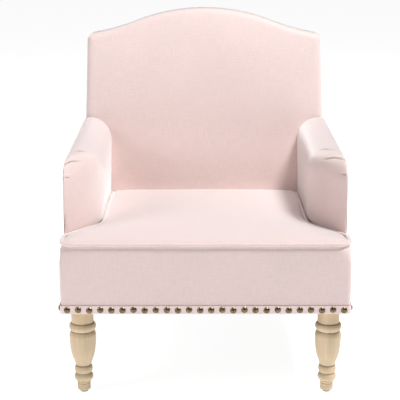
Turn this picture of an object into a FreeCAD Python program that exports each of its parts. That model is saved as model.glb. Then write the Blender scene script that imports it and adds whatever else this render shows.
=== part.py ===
"""Upholstered armchair: a camelback, sloping arms, a tight T-shaped seat, nail trim and turned legs.

Units are millimetres. +Z is up and the sitter faces -Y. The origin is on the floor, under the chair's
middle.
Depths are given as distances behind the seat's front edge, and at() turns such a depth into Y.
Left and right are the -X and +X sides. Right-hand pieces are drawn and left-hand ones are their mirror image.
"""

import FreeCAD, Part
import math
import os

from FreeCAD import Vector

# ---- driving dimensions ----
BODY_HALF = 355.0        # outer face of the side panels
BACK_HALF = 350.0        # outer face of the back's side, at HIP
HIP = 620.0              # height at which the arms meet the back's sides
SHOULDER_HALF = 346.0    # the same at the top corner of the back
BACK_TOP = 931.0
FABRIC = 2.0
TRIM_BOTTOM = 222.0      # lower edge of the nailed band
TRIM_HEIGHT = 20.0
TRIM_THICK = 1.5
DUST_HALF = 338.0
FRAME_BOTTOM = 226.0
FRAME_TOP = 350.0
RAIL_THICK = 25.0
FRAME_HALF = 348.0       # outer face of the wooden frame
WELT_HEIGHT = 396.0      # centre of the welt round the seat
WELT_R = 4.3
SEAT_TOP = 414.0
WADDING = 6.0
FOAM_BOTTOM = 368.0

OUTSIDE_RAKE = math.radians(9.6)     # outside back, from the vertical
FACE_RAKE = math.radians(15.0)       # face of the inside back
OUTSIDE_FOOT = 655.0                 # depth of the outside back at TRIM_BOTTOM
FACE_FOOT = 550.0                    # depth of the back's face where it meets the seat

CREST_R = 570.0          # the arch in the middle of the camelback
CREST_END = 205.0        # half width of that arch
SHOULDER_R = 640.0       # the hollow curve beside it
CORNER_R = 16.0

ARM_INNER = 272.0        # inner face of the arm
ARM_SLOPE = math.radians(5.0)
ARM_TOP_FRONT = 585.0    # height of the arm's top at ARM_REF
ARM_REF = 200.0
ARM_FRONT = 114.0        # depth of the arm's front at its outer edge
ARM_MID = (303.0, 170.0)     # X and depth of the middle of the arm's rounded front
ARM_CORNER = 245.0       # depth at which the arm's front has turned into its inner face
EAR = 104.0              # depth of the outer rear corner of the seat's front part
NECK_START = 224.0       # depth at which the seat's neck becomes straight
ARM_ROUND_X = 72.0       # the quarter ellipse from the inner face to the top
ARM_ROUND_Z = 60.0
ARM_FRONT_R = 60.0
CORE_INNER = 300.0       # inner face of the arm's frame
STUMP_FRONT = 127.0
STUMP_BACK = 210.0
RAIL_DROP = 18.0         # padding over the arm rail
ARM_RAIL_THICK = 22.0

POST_INNER = 316.0
POST_OUTER = 342.0
POST_DEEP = 50.0
POST_TOP = 800.0
LOWER_RAIL = 430.0       # underside of the rail between the posts
LOWER_RAIL_HEIGHT = 55.0

STRAP_WIDE = 50.0
STRAP_THICK = 1.6
STRAP_SET_BACK = 12.0    # how far the upright straps and the lower rail lie behind the posts' fronts
ACROSS_STRAPS = (540.0, 630.0, 720.0)
UPRIGHT_STRAPS = (-210.0, -70.0, 70.0, 210.0)

LEG_X = 307.0
LEG_FRONT = 55.0
REAR_LEG_TOP = 596.0     # depth of the rear leg's top
REAR_LEG_RAKE = 64.0     # how far its foot stands further back
REAR_LEG_X = 302.0
LEG_TOP = 224.5
GLIDE_HEIGHT = 4.0
GLIDE_R = 10.0
BOLT_R = 4.0
BOLT_IN_LEG = 38.0
BOLT_IN_BASE = 40.0
NUT_BARREL = 20.0
NUT_BARREL_R = 5.5
NUT_FLANGE = 1.6
NUT_FLANGE_R = 11.0

FRONT_RAIL = 12.0        # depth of the front rail's face
REAR_RAIL = 642.0        # depth of the rear rail's back
BLOCK_HEIGHT = 34.0
BLOCK_LEG = 112.0        # length of a corner block along each rail
BLOCK_CUT = 14.0

DOWEL_R = 5.0
DOWEL_HALF = 20.0
DOWEL_EDGE = 30.0        # from a rail's edge to its dowels
STUMP_DOWELS = (160.0, 190.0)
ARM_RAIL_DOWELS = (178.0, 197.0)
LOWER_RAIL_DOWELS = (445.0, 470.0)
POST_DOWEL_SHARES = (0.3, 0.7)

SCREW_LENGTH = 60.0
SCREW_HEAD_R = 4.0
SCREW_SHANK_R = 2.0
SCREW_HEAD = 3.0
SCREW_TIP = 6.0

LINER_THICK = 20.0
LINER_TOP = 392.0
BOARD_THICK = 3.0

GLIDE_NAIL = 14.0
GLIDE_NAIL_R = 1.2

STAPLE_CROWN = 10.0
STAPLE_WIRE = 1.2
STAPLE_RISE = 0.7

NAIL_PITCH = 27.0
NAIL_WANDER = 0.9        # how far a nail strays above or below the band's middle
NAIL_WANDER_STEP = 2.4
NAIL_R = 8.0
NAIL_RISE = 4.8
FRONT_NAILS = 26
SIDE_NAILS = 23
SIDE_NAIL_FIRST = 22.0   # depth of the first nail on the side

SPRING_WIRE_R = 1.9
SPRING_HEIGHT = 356.0
SPRING_PITCH = 28.0
SPRING_HALF = 22.0
SPRING_FIRST = 31.0      # depth of each spring's first and last cross wire
SPRING_LAST = 619.0
TIE_HALF = 280.0
TIE_DEPTHS = (220.0, 400.0)
DECK_HALF = 290.0
DECK_BOTTOM = 364.0
DECK_THICK = 2.0
SPRING_X = (-200.0, -100.0, 0.0, 100.0, 200.0)

BORDER_FRONT = 4.0       # depth of the panel under the seat's front edge
BAND_FRONT = BORDER_FRONT - TRIM_THICK
FRONT_LIP = NAIL_RISE + TRIM_THICK - BORDER_FRONT
DEPTH = FRONT_LIP + OUTSIDE_FOOT + (BACK_TOP - TRIM_BOTTOM) * math.tan(OUTSIDE_RAKE)
REACH = 2000.0           # longer than anything here, for cutting shapes

os.makedirs("parts", exist_ok=True)


# ---- helpers ----
def at(depth):
    """Y of a depth behind the seat's front edge."""
    return depth + FRONT_LIP - DEPTH / 2


def save(name, *shapes):
    """Writes one node, which may hold several separate solids."""
    solids = [s for shape in shapes for s in shape.Solids]
    whole = solids[0] if len(solids) == 1 else Part.makeCompound(solids)
    assert all(s.isValid() and s.Volume > 0 for s in solids), name
    whole.exportStep("parts/" + name + ".step")


def mirrored(shape):
    return shape.mirror(Vector(0, 0, 0), Vector(1, 0, 0))


def save_pair(name, right):
    """Writes a right-hand piece and its mirror image."""
    save("right_" + name, right)
    save("left_" + name, mirrored(right))


def block(x0, x1, d0, d1, z0, z1):
    """A box between two X values, two depths and two heights."""
    return Part.makeBox(x1 - x0, d1 - d0, z1 - z0, Vector(x0, at(d0), z0))


def outline(*steps):
    """A closed wire. A step is a point, or a pair (middle, end) for an arc."""
    first = here = steps[0]
    edges = []
    for step in steps[1:]:
        if isinstance(step, tuple):
            edges.append(Part.Arc(here, step[0], step[1]).toShape())
            here = step[1]
        else:
            edges.append(Part.LineSegment(here, step).toShape())
            here = step
    if here.distanceToPoint(first) > 1e-6:
        edges.append(Part.LineSegment(here, first).toShape())
    return Part.Wire(edges)


def side(depth, z):
    """A point of a side view."""
    return Vector(0, at(depth), z)


def plan(x, depth):
    """A point of a plan view."""
    return Vector(x, at(depth), 0)


def prism_x(wire, x0, x1):
    face = Part.Face(wire)
    face.translate(Vector(x0, 0, 0))
    return face.extrude(Vector(x1 - x0, 0, 0))


def prism_z(wire, z0, z1):
    face = Part.Face(wire)
    face.translate(Vector(0, 0, z0))
    return face.extrude(Vector(0, 0, z1 - z0))


def rod(start, end, radius):
    """A round bar from one point to another."""
    along = end.sub(start)
    return Part.makeCylinder(radius, along.Length, start, along)


def face_depth(z, inset=0.0):
    """Depth of the back's face at a height."""
    return FACE_FOOT + inset + (z - SEAT_TOP) * math.tan(FACE_RAKE)


def outside_depth(z, inset=0.0):
    """Depth of the outside back at a height."""
    return OUTSIDE_FOOT - inset + (z - TRIM_BOTTOM) * math.tan(OUTSIDE_RAKE)


def arm_top(depth):
    """Height of the arm's top line at a depth."""
    return ARM_TOP_FRONT + (depth - ARM_REF) * math.tan(ARM_SLOPE)


# ---- camelback outline ----
def crest_outline(inset, bottom, foot_half):
    """The back's outline seen from the front: an arch, a hollow curve each side and rounded corners."""
    arch_centre = Vector(0, 0, BACK_TOP - CREST_R)
    lean = math.asin(CREST_END / CREST_R)
    radial = Vector(math.sin(lean), 0, math.cos(lean))
    hollow_centre = arch_centre + radial * (CREST_R + SHOULDER_R)
    corner_x = SHOULDER_HALF - CORNER_R
    fall = math.sqrt((SHOULDER_R + CORNER_R) ** 2 - (hollow_centre.x - corner_x) ** 2)
    corner = Vector(corner_x, 0, hollow_centre.z - fall)
    to_hollow = (hollow_centre - corner).normalize()
    corner_r = CORNER_R - inset
    join = arch_centre + radial * (CREST_R - inset)
    corner_start = corner + to_hollow * corner_r
    corner_end = corner + Vector(corner_r, 0, 0)
    corner_mid = corner + (to_hollow + Vector(1, 0, 0)).normalize() * corner_r
    halfway = ((join - hollow_centre) + (corner_start - hollow_centre)).normalize()
    hollow_mid = hollow_centre + halfway * (SHOULDER_R + inset)
    hip = Vector(BACK_HALF - inset, 0, HIP)
    step = Vector(foot_half - inset, 0, HIP)
    foot = Vector(foot_half - inset, 0, bottom)

    def flip(v):
        return Vector(-v.x, v.y, v.z)

    half_outline = [foot, corner_end] if bottom >= HIP else [foot, step, hip, corner_end]
    if foot_half == BACK_HALF and bottom < HIP:
        half_outline.remove(step)
    return outline(
        *half_outline,
        (corner_mid, corner_start),
        (hollow_mid, join),
        (Vector(0, 0, BACK_TOP - inset), flip(join)),
        (flip(hollow_mid), flip(corner_start)),
        (flip(corner_mid), flip(corner_end)),
        *[flip(v) for v in half_outline[-2::-1]],
    )


def back_slab(inset, bottom, front, rear, foot_half=BACK_HALF):
    """The camelback outline between two sloping planes, each given by its depth at a height."""
    tall = Part.Face(crest_outline(inset, bottom, foot_half)).extrude(Vector(0, REACH, 0))
    top = BACK_TOP + 10
    between = prism_x(
        outline(
            side(front(bottom), bottom),
            side(front(top), top),
            side(rear(top), top),
            side(rear(bottom), bottom),
        ),
        -REACH / 2,
        REACH / 2,
    )
    return tall.common(between)


# ---- the wooden frame ----
def dowel(start, direction):
    """A dowel centred on a joint."""
    half = Vector(*direction).normalize() * DOWEL_HALF
    return rod(start - half, start + half, DOWEL_R)


def make_dowels():
    """Dowels of the right-hand half, at the frame's butt joints."""
    found = []
    rail_x = FRAME_HALF - RAIL_THICK / 2
    post_x = (FRAME_HALF - RAIL_THICK + POST_OUTER) / 2
    rear_depth = REAR_RAIL - RAIL_THICK / 2
    for z in (FRAME_BOTTOM + DOWEL_EDGE, FRAME_TOP - DOWEL_EDGE):
        found.append(dowel(Vector(rail_x, at(FRONT_RAIL + RAIL_THICK), z), (0, 1, 0)))
        found.append(dowel(Vector(post_x, at(post_front(z)), z), (0, 1, 0)))
        found.append(dowel(Vector(POST_INNER, at(rear_depth), z + DOWEL_EDGE / 2), (1, 0, 0)))
    for z in LOWER_RAIL_DOWELS:
        found.append(dowel(Vector(POST_INNER, at(post_front(z) + POST_DEEP / 2), z), (1, 0, 0)))
    for d in STUMP_DOWELS:
        found.append(dowel(Vector(rail_x, at(d), FRAME_TOP), (0, 0, 1)))
    for d in ARM_RAIL_DOWELS:
        found.append(dowel(Vector(rail_x - 5, at(d), arm_top(d) - RAIL_DROP - ARM_RAIL_THICK), (0, 0, 1)))
    for share in POST_DOWEL_SHARES:
        d = post_front(POST_TOP) + POST_DEEP * share
        found.append(dowel(Vector(post_x + 2, at(d), POST_TOP), (0, 0, 1)))
    return found


def post_front(z):
    """Depth of the back posts' front face at a height."""
    return outside_depth(z, FABRIC + POST_DEEP / math.cos(OUTSIDE_RAKE))


def make_post():
    """A raked post, sawn from board, that runs from the base to the crest rail."""
    return prism_x(
        outline(
            side(post_front(FRAME_BOTTOM), FRAME_BOTTOM),
            side(post_front(POST_TOP), POST_TOP),
            side(outside_depth(POST_TOP, FABRIC), POST_TOP),
            side(outside_depth(FRAME_BOTTOM, FABRIC), FRAME_BOTTOM),
        ),
        POST_INNER,
        POST_OUTER,
    )


def make_crest_rail():
    """The camelback board on top of the posts."""
    return back_slab(
        12.0,
        POST_TOP,
        lambda z: outside_depth(z, FABRIC + RAIL_THICK),
        lambda z: outside_depth(z, FABRIC),
    )


def make_lower_back_rail():
    """A rail between the posts, just over the seat."""
    low, high, front = LOWER_RAIL, LOWER_RAIL + LOWER_RAIL_HEIGHT, STRAP_SET_BACK
    return prism_x(
        outline(
            side(post_front(low) + front, low),
            side(post_front(high) + front, high),
            side(post_front(high) + front + RAIL_THICK, high),
            side(post_front(low) + front + RAIL_THICK, low),
        ),
        -POST_INNER,
        POST_INNER,
    )


def arm_profile(inset, low):
    """The arm's side view down to a height: rounded at the front, sloping up to the back's face."""
    front = ARM_FRONT + inset
    r = ARM_FRONT_R
    bend = r * (1 - math.sqrt(0.5))
    top = arm_top(front + r) - inset
    return outline(
        side(front, low),
        side(front, top - r),
        (side(front + bend, top - bend), side(front + r, top)),
        side(REACH, arm_top(REACH) - inset),
        side(REACH, low),
    )


def arm_room():
    """All that lies outside the arm's inner board and below its top line. The back's padding clears it."""
    return prism_x(arm_profile(0, 0), CORE_INNER, REACH).common(block(0, REACH, 0, REACH, 0, HIP))


def arm_core(drop):
    """The space for the arm's frame, up to drop below the arm's top line."""
    rear = post_front(arm_top(600)) - 1
    footprint = outline(
        plan(FRAME_HALF, STUMP_FRONT),
        plan(ARM_MID[0] + 15, ARM_MID[1] + 7),
        plan(CORE_INNER, ARM_MID[1] + 45),
        plan(CORE_INNER, rear),
        plan(FRAME_HALF, rear),
    )
    return prism_z(footprint, FRAME_TOP, REACH).common(prism_x(arm_profile(drop, FRAME_TOP), 0, REACH))


def make_stump():
    return arm_core(RAIL_DROP + ARM_RAIL_THICK).common(block(0, 400, 0, STUMP_BACK, 0, 700))


def make_arm_rail():
    return arm_core(RAIL_DROP).cut(arm_core(RAIL_DROP + ARM_RAIL_THICK)).common(
        block(0, 400, 0, post_front(arm_top(600)) - 20, 0, 700)
    )


def make_corner_block(inner_x, inner_d, toward):
    """A triangular block in a corner of the base. toward is 1 if it reaches backwards, or -1 forwards."""
    wire = outline(
        plan(inner_x, inner_d),
        plan(inner_x - BLOCK_LEG, inner_d),
        plan(inner_x - BLOCK_LEG, inner_d + toward * BLOCK_CUT),
        plan(inner_x - BLOCK_CUT, inner_d + toward * BLOCK_LEG),
        plan(inner_x, inner_d + toward * BLOCK_LEG),
    )
    return prism_z(wire, FRAME_BOTTOM, FRAME_BOTTOM + BLOCK_HEIGHT)


def make_screw(head, direction):
    """A countersunk wood screw."""
    profile = outline(
        Vector(0, 0, 0),
        Vector(SCREW_HEAD_R, 0, 0),
        Vector(SCREW_SHANK_R, 0, SCREW_HEAD),
        Vector(SCREW_SHANK_R, 0, SCREW_LENGTH - SCREW_TIP),
        Vector(0, 0, SCREW_LENGTH),
    )
    body = Part.Face(profile).revolve(Vector(0, 0, 0), Vector(0, 0, 1), 360)
    body.Placement = FreeCAD.Placement(head, FreeCAD.Rotation(Vector(0, 0, 1), Vector(*direction)))
    return body


# ---- legs ----
def make_turned_leg():
    """The front leg, turned from one blank: beads, a vase and a plain toe."""
    def p(r, z):
        return Vector(r, 0, z)

    body = Part.BSplineCurve()
    body.interpolate([p(32.8, 147), p(31.0, 119), p(25.6, 92), p(20.6, 78), p(19.2, 71)])
    toe = GLIDE_HEIGHT
    edges = [
        Part.LineSegment(p(0, LEG_TOP), p(27.5, LEG_TOP)),
        Part.LineSegment(p(27.5, LEG_TOP), p(27.5, 184)),
        Part.Arc(p(27.5, 184), p(33.2, 174.5), p(29.2, 164.5)),
        Part.Arc(p(29.2, 164.5), p(28.6, 162.5), p(29.4, 160.5)),
        Part.Arc(p(29.4, 160.5), p(32.2, 155), p(32.8, 147)),
        body,
        Part.Arc(p(19.2, 71), p(22.2, 63), p(20.2, 53)),
        Part.Arc(p(20.2, 53), p(19.6, 50.5), p(20.4, 48)),
        Part.Arc(p(20.4, 48), p(23.4, 40), p(20.2, 32)),
        Part.Arc(p(20.2, 32), p(17.2, 28), p(16.2, 23)),
        Part.LineSegment(p(16.2, 23), p(16.2, toe + 3)),
        Part.LineSegment(p(16.2, toe + 3), p(13.2, toe)),
        Part.LineSegment(p(13.2, toe), p(0, toe)),
        Part.LineSegment(p(0, toe), p(0, LEG_TOP)),
    ]
    wire = Part.Wire([e.toShape() for e in edges])
    leg = Part.Face(wire).revolve(Vector(0, 0, 0), Vector(0, 0, 1), 360)
    leg.translate(Vector(LEG_X, at(LEG_FRONT), 0))
    return leg


def make_rear_leg():
    """The rear leg, square, tapered and raked backwards."""
    top_half, toe_half = 23.0, 14.0

    def square(half, depth, z):
        c = [(-half, -half), (half, -half), (half, half), (-half, half)]
        points = [Vector(REAR_LEG_X + x, at(depth + y), z) for x, y in c]
        return Part.makePolygon(points + points[:1])

    top = square(top_half, REAR_LEG_TOP, LEG_TOP)
    toe = square(toe_half, REAR_LEG_TOP + REAR_LEG_RAKE, GLIDE_HEIGHT)
    leg = Part.makeLoft([toe, top], True, True)
    upright = [e for e in leg.Edges if abs(e.Vertexes[0].Z - e.Vertexes[1].Z) > 100]
    return leg.makeFillet(3.0, upright)


def leg_places():
    """Where the bolts go up: X and depth of each leg's top."""
    right = ((LEG_X, LEG_FRONT), (REAR_LEG_X, REAR_LEG_TOP))
    return [(s * x, d) for x, d in right for s in (-1, 1)]


def toe_places():
    """X and depth of each leg's foot."""
    right = ((LEG_X, LEG_FRONT), (REAR_LEG_X, REAR_LEG_TOP + REAR_LEG_RAKE))
    return [(s * x, d) for x, d in right for s in (-1, 1)]


def make_bolt(x, depth):
    """A hanger bolt: wood thread in the leg, machine thread in the tee nut."""
    low, high = LEG_TOP - BOLT_IN_LEG, FRAME_BOTTOM + BOLT_IN_BASE
    return rod(Vector(x, at(depth), low), Vector(x, at(depth), high), BOLT_R)


def make_tee_nut(x, depth):
    """A barrel in the corner block, with a flange on its upper face."""
    top = Vector(x, at(depth), FRAME_BOTTOM + BLOCK_HEIGHT)
    foot = top - Vector(0, 0, NUT_BARREL)
    nut = rod(foot, top, NUT_BARREL_R).fuse(Part.makeCylinder(NUT_FLANGE_R, NUT_FLANGE, top))
    return nut.cut(Part.makeCylinder(BOLT_R, REACH, Vector(x, at(depth), 0)))


def make_glide(x, depth):
    """A plastic glide with its nail, under a foot."""
    pad = Part.makeCylinder(GLIDE_R, GLIDE_HEIGHT, Vector(x, at(depth), 0))
    pad = pad.makeFillet(1.0, [pad.Edges[2]])
    return pad.fuse(Part.makeCylinder(GLIDE_NAIL_R, GLIDE_NAIL, Vector(x, at(depth), GLIDE_HEIGHT)))


# ---- springs ----
def make_spring(x):
    """A sinuous seat spring: cross wires joined by half-round bends."""
    count = int((SPRING_LAST - SPRING_FIRST) / SPRING_PITCH)
    bend = SPRING_PITCH / 2
    edges = []
    for n in range(count + 1):
        depth = SPRING_FIRST + n * SPRING_PITCH
        s = 1 if n % 2 else -1
        start = Vector(x - s * (SPRING_HALF - bend), at(depth), SPRING_HEIGHT)
        end = Vector(x + s * (SPRING_HALF - bend), at(depth), SPRING_HEIGHT)
        edges.append(Part.LineSegment(start, end).toShape())
        if n < count:
            tip = Vector(x + s * SPRING_HALF, at(depth + bend), SPRING_HEIGHT)
            after = Vector(end.x, at(depth + SPRING_PITCH), SPRING_HEIGHT)
            edges.append(Part.Arc(end, tip, after).toShape())
    path = Part.Wire(edges)
    ring = Part.makeCircle(SPRING_WIRE_R, path.Vertexes[0].Point, Vector(1, 0, 0))
    return path.makePipe(Part.Face(Part.Wire([ring])))


def make_clip(x, depth):
    """A stamped clip that holds a spring's end wire on a rail."""
    low = FRAME_TOP
    wire_top = SPRING_HEIGHT + SPRING_WIRE_R
    strap = block(x - 9, x + 9, depth - 9, depth + 9, low, wire_top + 1.5)
    tunnel = block(x - 12, x + 12, depth - 6.5, depth + 6.5, low + 1.5, wire_top)
    return strap.cut(tunnel)


# ---- soft parts ----
def seat_outline(inset, rear):
    """The T-shaped seat in plan: a full-width front with rounded corners, and a neck between the arms."""
    half = BODY_HALF + 2 - inset
    front = 2 + inset
    r = 40.0 - inset
    neck = ARM_INNER - 1 - inset
    cut = r * (1 - math.sqrt(0.5))
    ear = EAR - inset
    return outline(
        plan(neck, rear),
        plan(neck, NECK_START),
        (plan(neck + 7, NECK_START - 34), plan(neck + 21 + inset / 2, NECK_START - 54 - inset / 2)),
        plan(half - 12, ear + 10),
        (plan(half - 3, ear), plan(half, ear - 14)),
        plan(half, front + r),
        (plan(half - cut, front + cut), plan(half - r, front)),
        plan(-half + r, front),
        (plan(-half + cut, front + cut), plan(-half, front + r)),
        plan(-half, ear - 14),
        (plan(-half + 3, ear), plan(-half + 12, ear + 10)),
        plan(-neck - 21 - inset / 2, NECK_START - 54 - inset / 2),
        (plan(-neck - 7, NECK_START - 34), plan(-neck, NECK_START)),
        plan(-neck, rear),
    )


def seat_layer(inset, z0, z1, rear=FACE_FOOT - 2):
    return prism_z(seat_outline(inset, rear), z0, z1)


def make_seat_foam():
    foam = seat_layer(13, FOAM_BOTTOM, SEAT_TOP - FABRIC - WADDING)
    frame_room = arm_core(0).fuse(mirrored(arm_core(0)))
    return foam.cut(frame_room)


def make_welt():
    """The piping round the seat: from the back along one arm, round the front and along the other arm."""
    wire = seat_outline(WELT_R, FACE_FOOT - 2)
    edges = wire.Edges[:-1]
    path = Part.Wire(edges)
    path.translate(Vector(0, 0, WELT_HEIGHT))
    start = path.Edges[0].Vertexes[0].Point
    ring = Part.Wire([Part.makeCircle(WELT_R, start, Vector(0, 1, 0))])
    return path.makePipeShell([ring], True, True)


def arm_form(inset):
    """The padded arm over its frame: a rounded section on a sloping line, with a rounded front."""
    inner = ARM_INNER + inset
    outer = BACK_HALF
    length = 700.0
    rear_z = arm_top(length) - inset
    rx, rz = ARM_ROUND_X - inset, ARM_ROUND_Z - inset
    ellipse = Part.Ellipse(Vector(0, 0, 0), max(rx, rz), min(rx, rz))
    quarter = ellipse.toShape(math.pi / 2, math.pi)
    quarter.rotate(Vector(0, 0, 0), Vector(1, 0, 0), 90)
    quarter.translate(Vector(inner + rx, 0, rear_z - rz))
    ends = sorted((v.Point for v in quarter.Vertexes), key=lambda p: p.x)
    corners = [Vector(outer, 0, rear_z), Vector(outer, 0, 300), Vector(inner, 0, 300)]
    edges = [quarter]
    for a, b in zip([ends[1]] + corners, corners + [ends[0]]):
        edges.append(Part.LineSegment(a, b).toShape())
    section = Part.Face(Part.Wire(edges))
    section.translate(Vector(0, at(length), 0))
    swept = section.extrude(Vector(0, -length, -length * math.tan(ARM_SLOPE)))
    footprint = outline(
        plan(outer, ARM_FRONT + inset),
        plan(outer - 8, ARM_FRONT + 3 + inset),
        (plan(ARM_MID[0] + inset / 2, ARM_MID[1] + inset), plan(inner, ARM_CORNER)),
        plan(inner, length),
        plan(outer, length),
    )
    low = WELT_HEIGHT + WELT_R + 1
    before_back = outline(
        side(0, low),
        side(0, REACH),
        side(face_depth(REACH) - 1, REACH),
        side(face_depth(low) - 1, low),
    )
    arm = swept.common(prism_z(footprint, 0, REACH)).common(prism_x(before_back, 0, REACH))
    return arm.common(prism_x(arm_profile(inset, low), 0, REACH))


def make_side_panel():
    """The outside arm and base side: one flat panel of fabric on its board."""
    r = ARM_FRONT_R
    front = ARM_FRONT + 1
    top = arm_top(front + r) - 1
    bend = r * (1 - math.sqrt(0.5))
    shelf = WELT_HEIGHT - WELT_R - 1
    back_d = face_depth(HIP)
    back_top = arm_top(back_d) - 1
    wire = outline(
        side(FRONT_RAIL, FRAME_BOTTOM),
        side(FRONT_RAIL, shelf),
        side(front, shelf),
        side(front, top - r),
        (side(front + bend, top - bend), side(front + r, top)),
        side(back_d, back_top),
        side(outside_depth(back_top, FABRIC), back_top),
        side(outside_depth(FRAME_BOTTOM, FABRIC), FRAME_BOTTOM),
    )
    return prism_x(wire, BACK_HALF, BODY_HALF)


def make_back_cover():
    """The inside back's fabric: front, top and sides, open behind."""
    low = SEAT_TOP + FABRIC
    skin = back_slab(0, low, face_depth, lambda z: outside_depth(z, FABRIC))
    inner = back_slab(
        FABRIC,
        0,
        lambda z: face_depth(z, FABRIC),
        lambda z: outside_depth(z) + 50,
    )
    return skin.cut(inner).cut(arm_room()).cut(mirrored(arm_room()))


def make_back_foam():
    low = SEAT_TOP + FABRIC
    foam = back_slab(
        FABRIC,
        low,
        lambda z: face_depth(z, FABRIC),
        lambda z: post_front(z) - 4,
    )
    return foam.cut(arm_room()).cut(mirrored(arm_room()))


def make_outside_back():
    return back_slab(
        0,
        FRAME_BOTTOM,
        lambda z: outside_depth(z, FABRIC),
        outside_depth,
        BODY_HALF,
    )


def make_strap(x0, x1, z0, z1, set_back):
    """One strap, whose rear face lies a distance behind the posts' fronts."""
    return prism_x(
        outline(
            side(post_front(z0) + set_back - STRAP_THICK, z0),
            side(post_front(z1) + set_back - STRAP_THICK, z1),
            side(post_front(z1) + set_back, z1),
            side(post_front(z0) + set_back, z0),
        ),
        x0,
        x1,
    )


def make_webbing():
    """Elastic straps on the back frame: three across in front of four upright."""
    half = STRAP_WIDE / 2
    across = [make_strap(-POST_OUTER, POST_OUTER, z - half, z + half, 0) for z in ACROSS_STRAPS]
    low, high = LOWER_RAIL + 10, POST_TOP - 5
    upright = [make_strap(x - half, x + half, low, high, STRAP_SET_BACK) for x in UPRIGHT_STRAPS]
    return across + upright


def make_front_border():
    """The padded fabric panel under the seat's front edge."""
    wire = outline(
        plan(-BODY_HALF, FRONT_RAIL),
        plan(-BODY_HALF, BORDER_FRONT + 4),
        (plan(-BODY_HALF + 1.2, BORDER_FRONT + 1.2), plan(-BODY_HALF + 4, BORDER_FRONT)),
        plan(BODY_HALF - 4, BORDER_FRONT),
        (plan(BODY_HALF - 1.2, BORDER_FRONT + 1.2), plan(BODY_HALF, BORDER_FRONT + 4)),
        plan(BODY_HALF, FRONT_RAIL),
    )
    return prism_z(wire, FRAME_BOTTOM, WELT_HEIGHT - WELT_R - 1)


def make_trim_band():
    """The strip of fabric that the nails hold, round the front and the sides."""
    rear = outside_depth(TRIM_BOTTOM, FABRIC)
    half = BODY_HALF + TRIM_THICK
    outer = block(-half, half, BAND_FRONT, rear, TRIM_BOTTOM, TRIM_BOTTOM + TRIM_HEIGHT)
    return outer.cut(block(-BODY_HALF, BODY_HALF, BORDER_FRONT, REACH, 0, REACH))


def make_nail(place, outward):
    """A domed upholstery nail. place is the middle of its head's flat back."""
    dome_r = (NAIL_R ** 2 + NAIL_RISE ** 2) / (2 * NAIL_RISE)
    half = math.asin(NAIL_R / dome_r) / 2
    mid = Vector(dome_r * math.sin(half), 0, NAIL_RISE - dome_r * (1 - math.cos(half)))
    shank = outline(
        Vector(0, 0, NAIL_RISE),
        (mid, Vector(NAIL_R, 0, 0)),
        Vector(1, 0, 0),
        Vector(1, 0, -12),
        Vector(0, 0, -14),
    )
    nail = Part.Face(shank).revolve(Vector(0, 0, 0), Vector(0, 0, 1), 360)
    nail.Placement = FreeCAD.Placement(place, FreeCAD.Rotation(Vector(0, 0, 1), Vector(*outward)))
    return nail


def nail_height(number):
    """The nails are set by eye, so they wander a little along the band's middle."""
    return TRIM_BOTTOM + TRIM_HEIGHT / 2 + NAIL_WANDER * math.sin(NAIL_WANDER_STEP * number)


def front_nails():
    first = -NAIL_PITCH * (FRONT_NAILS - 1) / 2
    places = [Vector(first + n * NAIL_PITCH, at(BAND_FRONT), nail_height(n)) for n in range(FRONT_NAILS)]
    return [make_nail(place, (0, -1, 0)) for place in places]


def right_nails():
    places = [
        Vector(BODY_HALF + TRIM_THICK, at(SIDE_NAIL_FIRST + n * NAIL_PITCH), nail_height(n))
        for n in range(SIDE_NAILS)
    ]
    return [make_nail(place, (1, 0, 0)) for place in places]


def make_dust_cover():
    """Black cambric under the base, with a hole for each leg's bolt."""
    cover = block(-DUST_HALF, DUST_HALF, FRONT_RAIL + 10, REAR_RAIL - 2, LEG_TOP, FRAME_BOTTOM)
    for x, depth in leg_places():
        cover = cover.cut(Part.makeCylinder(BOLT_R + 1, REACH, Vector(x, at(depth), 0)))
    return cover


def make_staples():
    """Staples along the dust cover's edge."""
    low, crown, wire = LEG_TOP - STAPLE_RISE, STAPLE_CROWN, STAPLE_WIRE
    staples = []
    for n in range(15):
        x = -266 + n * 532 / 14
        for depth in (28, 634):
            staples.append(block(x - crown / 2, x + crown / 2, depth, depth + wire, low, LEG_TOP))
    for n in range(13):
        depth = 108 + n * 460 / 12
        for x in (-332, 332):
            staples.append(block(x - wire / 2, x + wire / 2, depth, depth + crown, low, LEG_TOP))
    return staples


# ---- assembly ----
def cut_all(shape, tools):
    """Takes every tool that reaches the shape out of it."""
    near = [t for t in tools if shape.BoundBox.intersect(t.BoundBox)]
    return shape.cut(Part.makeCompound(near)) if near else shape


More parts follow.
